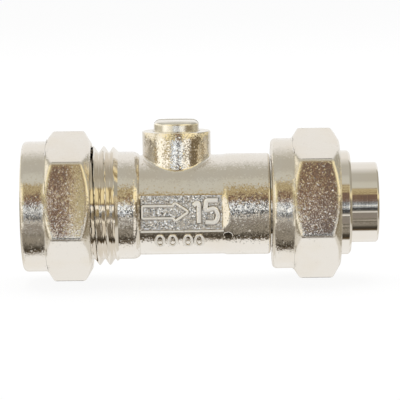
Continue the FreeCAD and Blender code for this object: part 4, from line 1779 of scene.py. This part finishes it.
def tent_paint():
    """Panels of a light tent, by the height and the bearing at which the valve sees them."""
    finish = Finish("tent_panels")
    place = finish.vector("NORMALIZE", finish.place())
    side, depth, height = finish.split(place)
    degree = 180 / math.pi
    ahead = 0 - depth
    arch = height.then("ARCTAN2", ahead) * degree
    bearing = side.then("ARCTAN2", ahead) * degree
    level = height.then("ARCSINE") * degree
    beside = finish.within(bearing.then("ABSOLUTE"), *END_BEARINGS) * finish.within(level, *END_LEVELS)
    over = shades_at(finish, arch, ARCH_SHADES)
    shade = finish.mix(beside, over, shades_at(finish, level, SIDE_SHADES))
    mottles = {name: finish.noise(place, *mottle) for name, mottle in MOTTLES.items()}
    leaves = {}
    for name, (mottle, turn, first, second) in LEAVES.items():
        leaves[name] = finish.mix(finish.step_between(mottles[mottle], *turn), first, second)
    for (left, right), (low, high), paper in CARDS:
        soft = min(CARD_SOFT, (right - left) / CARD_SOFT_SHARE, (high - low) / CARD_SOFT_SHARE)
        seen = finish.within(bearing, left, right, soft) * finish.within(level, low, high, soft)
        shade = finish.mix(seen, shade, leaves.get(paper, paper))
    finish.show(finish.node("ShaderNodeEmission", None, {"Color": shade, "Strength": 1.0}))
    finish.material.cycles.emission_sampling = "NONE"
    return finish.material


def add_tent(look):
    """A round light tent, seen only in the polish of the metal."""
    bpy.ops.object.select_all(action="DESELECT")
    bpy.ops.mesh.primitive_uv_sphere_add(segments=96, ring_count=48, radius=look.tent_radius)
    tent = bpy.context.object
    tent.name = "light_tent"
    bpy.ops.object.shade_smooth()
    tent.data.materials.append(tent_paint())
    hide_from(tent, "camera", "diffuse", "transmission", "volume_scatter", "shadow")


def add_key(look):
    """One large soft lamp overhead, a little behind the valve."""
    bpy.ops.object.light_add(type="AREA", location=(0, look.key_back, look.key_height))
    lamp = bpy.context.object
    lamp.name = "overhead_lamp"
    lamp.data.shape = "DISK"
    lamp.data.size = look.key_size
    lamp.data.energy = look.key_power
    lamp.rotation_mode = "QUATERNION"
    lamp.rotation_quaternion = (-lamp.location).to_track_quat("-Z", "Y")
    hide_from(lamp, "glossy")


def add_camera(look):
    """A long lens at the height of a product picture."""
    middle = Vector((look.look_at_x, 0, look.look_at_z))
    back = Vector((0, -math.cos(look.elevation), math.sin(look.elevation)))
    bpy.ops.object.camera_add(location=middle + back * look.distance)
    camera = bpy.context.object
    camera.rotation_mode = "QUATERNION"
    facing = (-back).to_track_quat("-Z", "Y")
    camera.rotation_quaternion = facing @ Quaternion((0, 0, 1), look.roll)
    camera.data.lens = camera.data.sensor_width * look.distance / look.view_width
    camera.data.clip_start = look.clip_start
    bpy.context.scene.camera = camera


class VALVE_OT_set_stage(bpy.types.Operator):
    """Set the floor, the light and the camera"""

    bl_idname = "valve.set_stage"
    bl_label = "Stage"

    def execute(self, context):
        look = context.scene.stage_look
        context.scene.view_settings.view_transform = "Standard"
        set_world(look)
        add_floor(look)
        add_tent(look)
        add_key(look)
        add_camera(look)
        return {"FINISHED"}


class VALVE_PT_pieces(bpy.types.Panel):
    """The pieces of the valve, in the order in which they are made"""

    bl_label = "Isolating valve"
    bl_space_type = "VIEW_3D"
    bl_region_type = "UI"
    bl_category = "Valve"

    def draw(self, context):
        column = self.layout.column(align=True)
        for operator in OPERATORS:
            column.operator(operator.bl_idname)


GROUPS = {
    "body_sizes": BodySizes,
    "nut_sizes": NutSizes,
    "turned_sizes": TurnedSizes,
    "marking_sizes": MarkingSizes,
    "finish_look": FinishLook,
    "stage_look": StageLook,
}
OPERATORS = (
    VALVE_OT_make_body,
    VALVE_OT_make_nuts,
    VALVE_OT_make_tail,
    VALVE_OT_make_stem,
    VALVE_OT_make_olive,
    VALVE_OT_finish_inside,
    VALVE_OT_raise_marks,
    VALVE_OT_set_stage,
)


def register():
    for made in (*GROUPS.values(), *OPERATORS, VALVE_PT_pieces):
        bpy.utils.register_class(made)
    for name, group in GROUPS.items():
        setattr(bpy.types.Scene, name, bpy.props.PointerProperty(type=group))


def unregister():
    for name in GROUPS:
        delattr(bpy.types.Scene, name)
    for made in reversed((*GROUPS.values(), *OPERATORS, VALVE_PT_pieces)):
        bpy.utils.unregister_class(made)


def main():
    register()
    bpy.ops.valve.make_body()
    bpy.ops.valve.make_nuts()
    bpy.ops.valve.make_tail()
    bpy.ops.valve.make_stem()
    bpy.ops.valve.make_olive()
    bpy.ops.valve.finish_inside()
    bpy.ops.valve.raise_marks()
    bpy.ops.valve.set_stage()


if __name__ == "__main__":
    main()
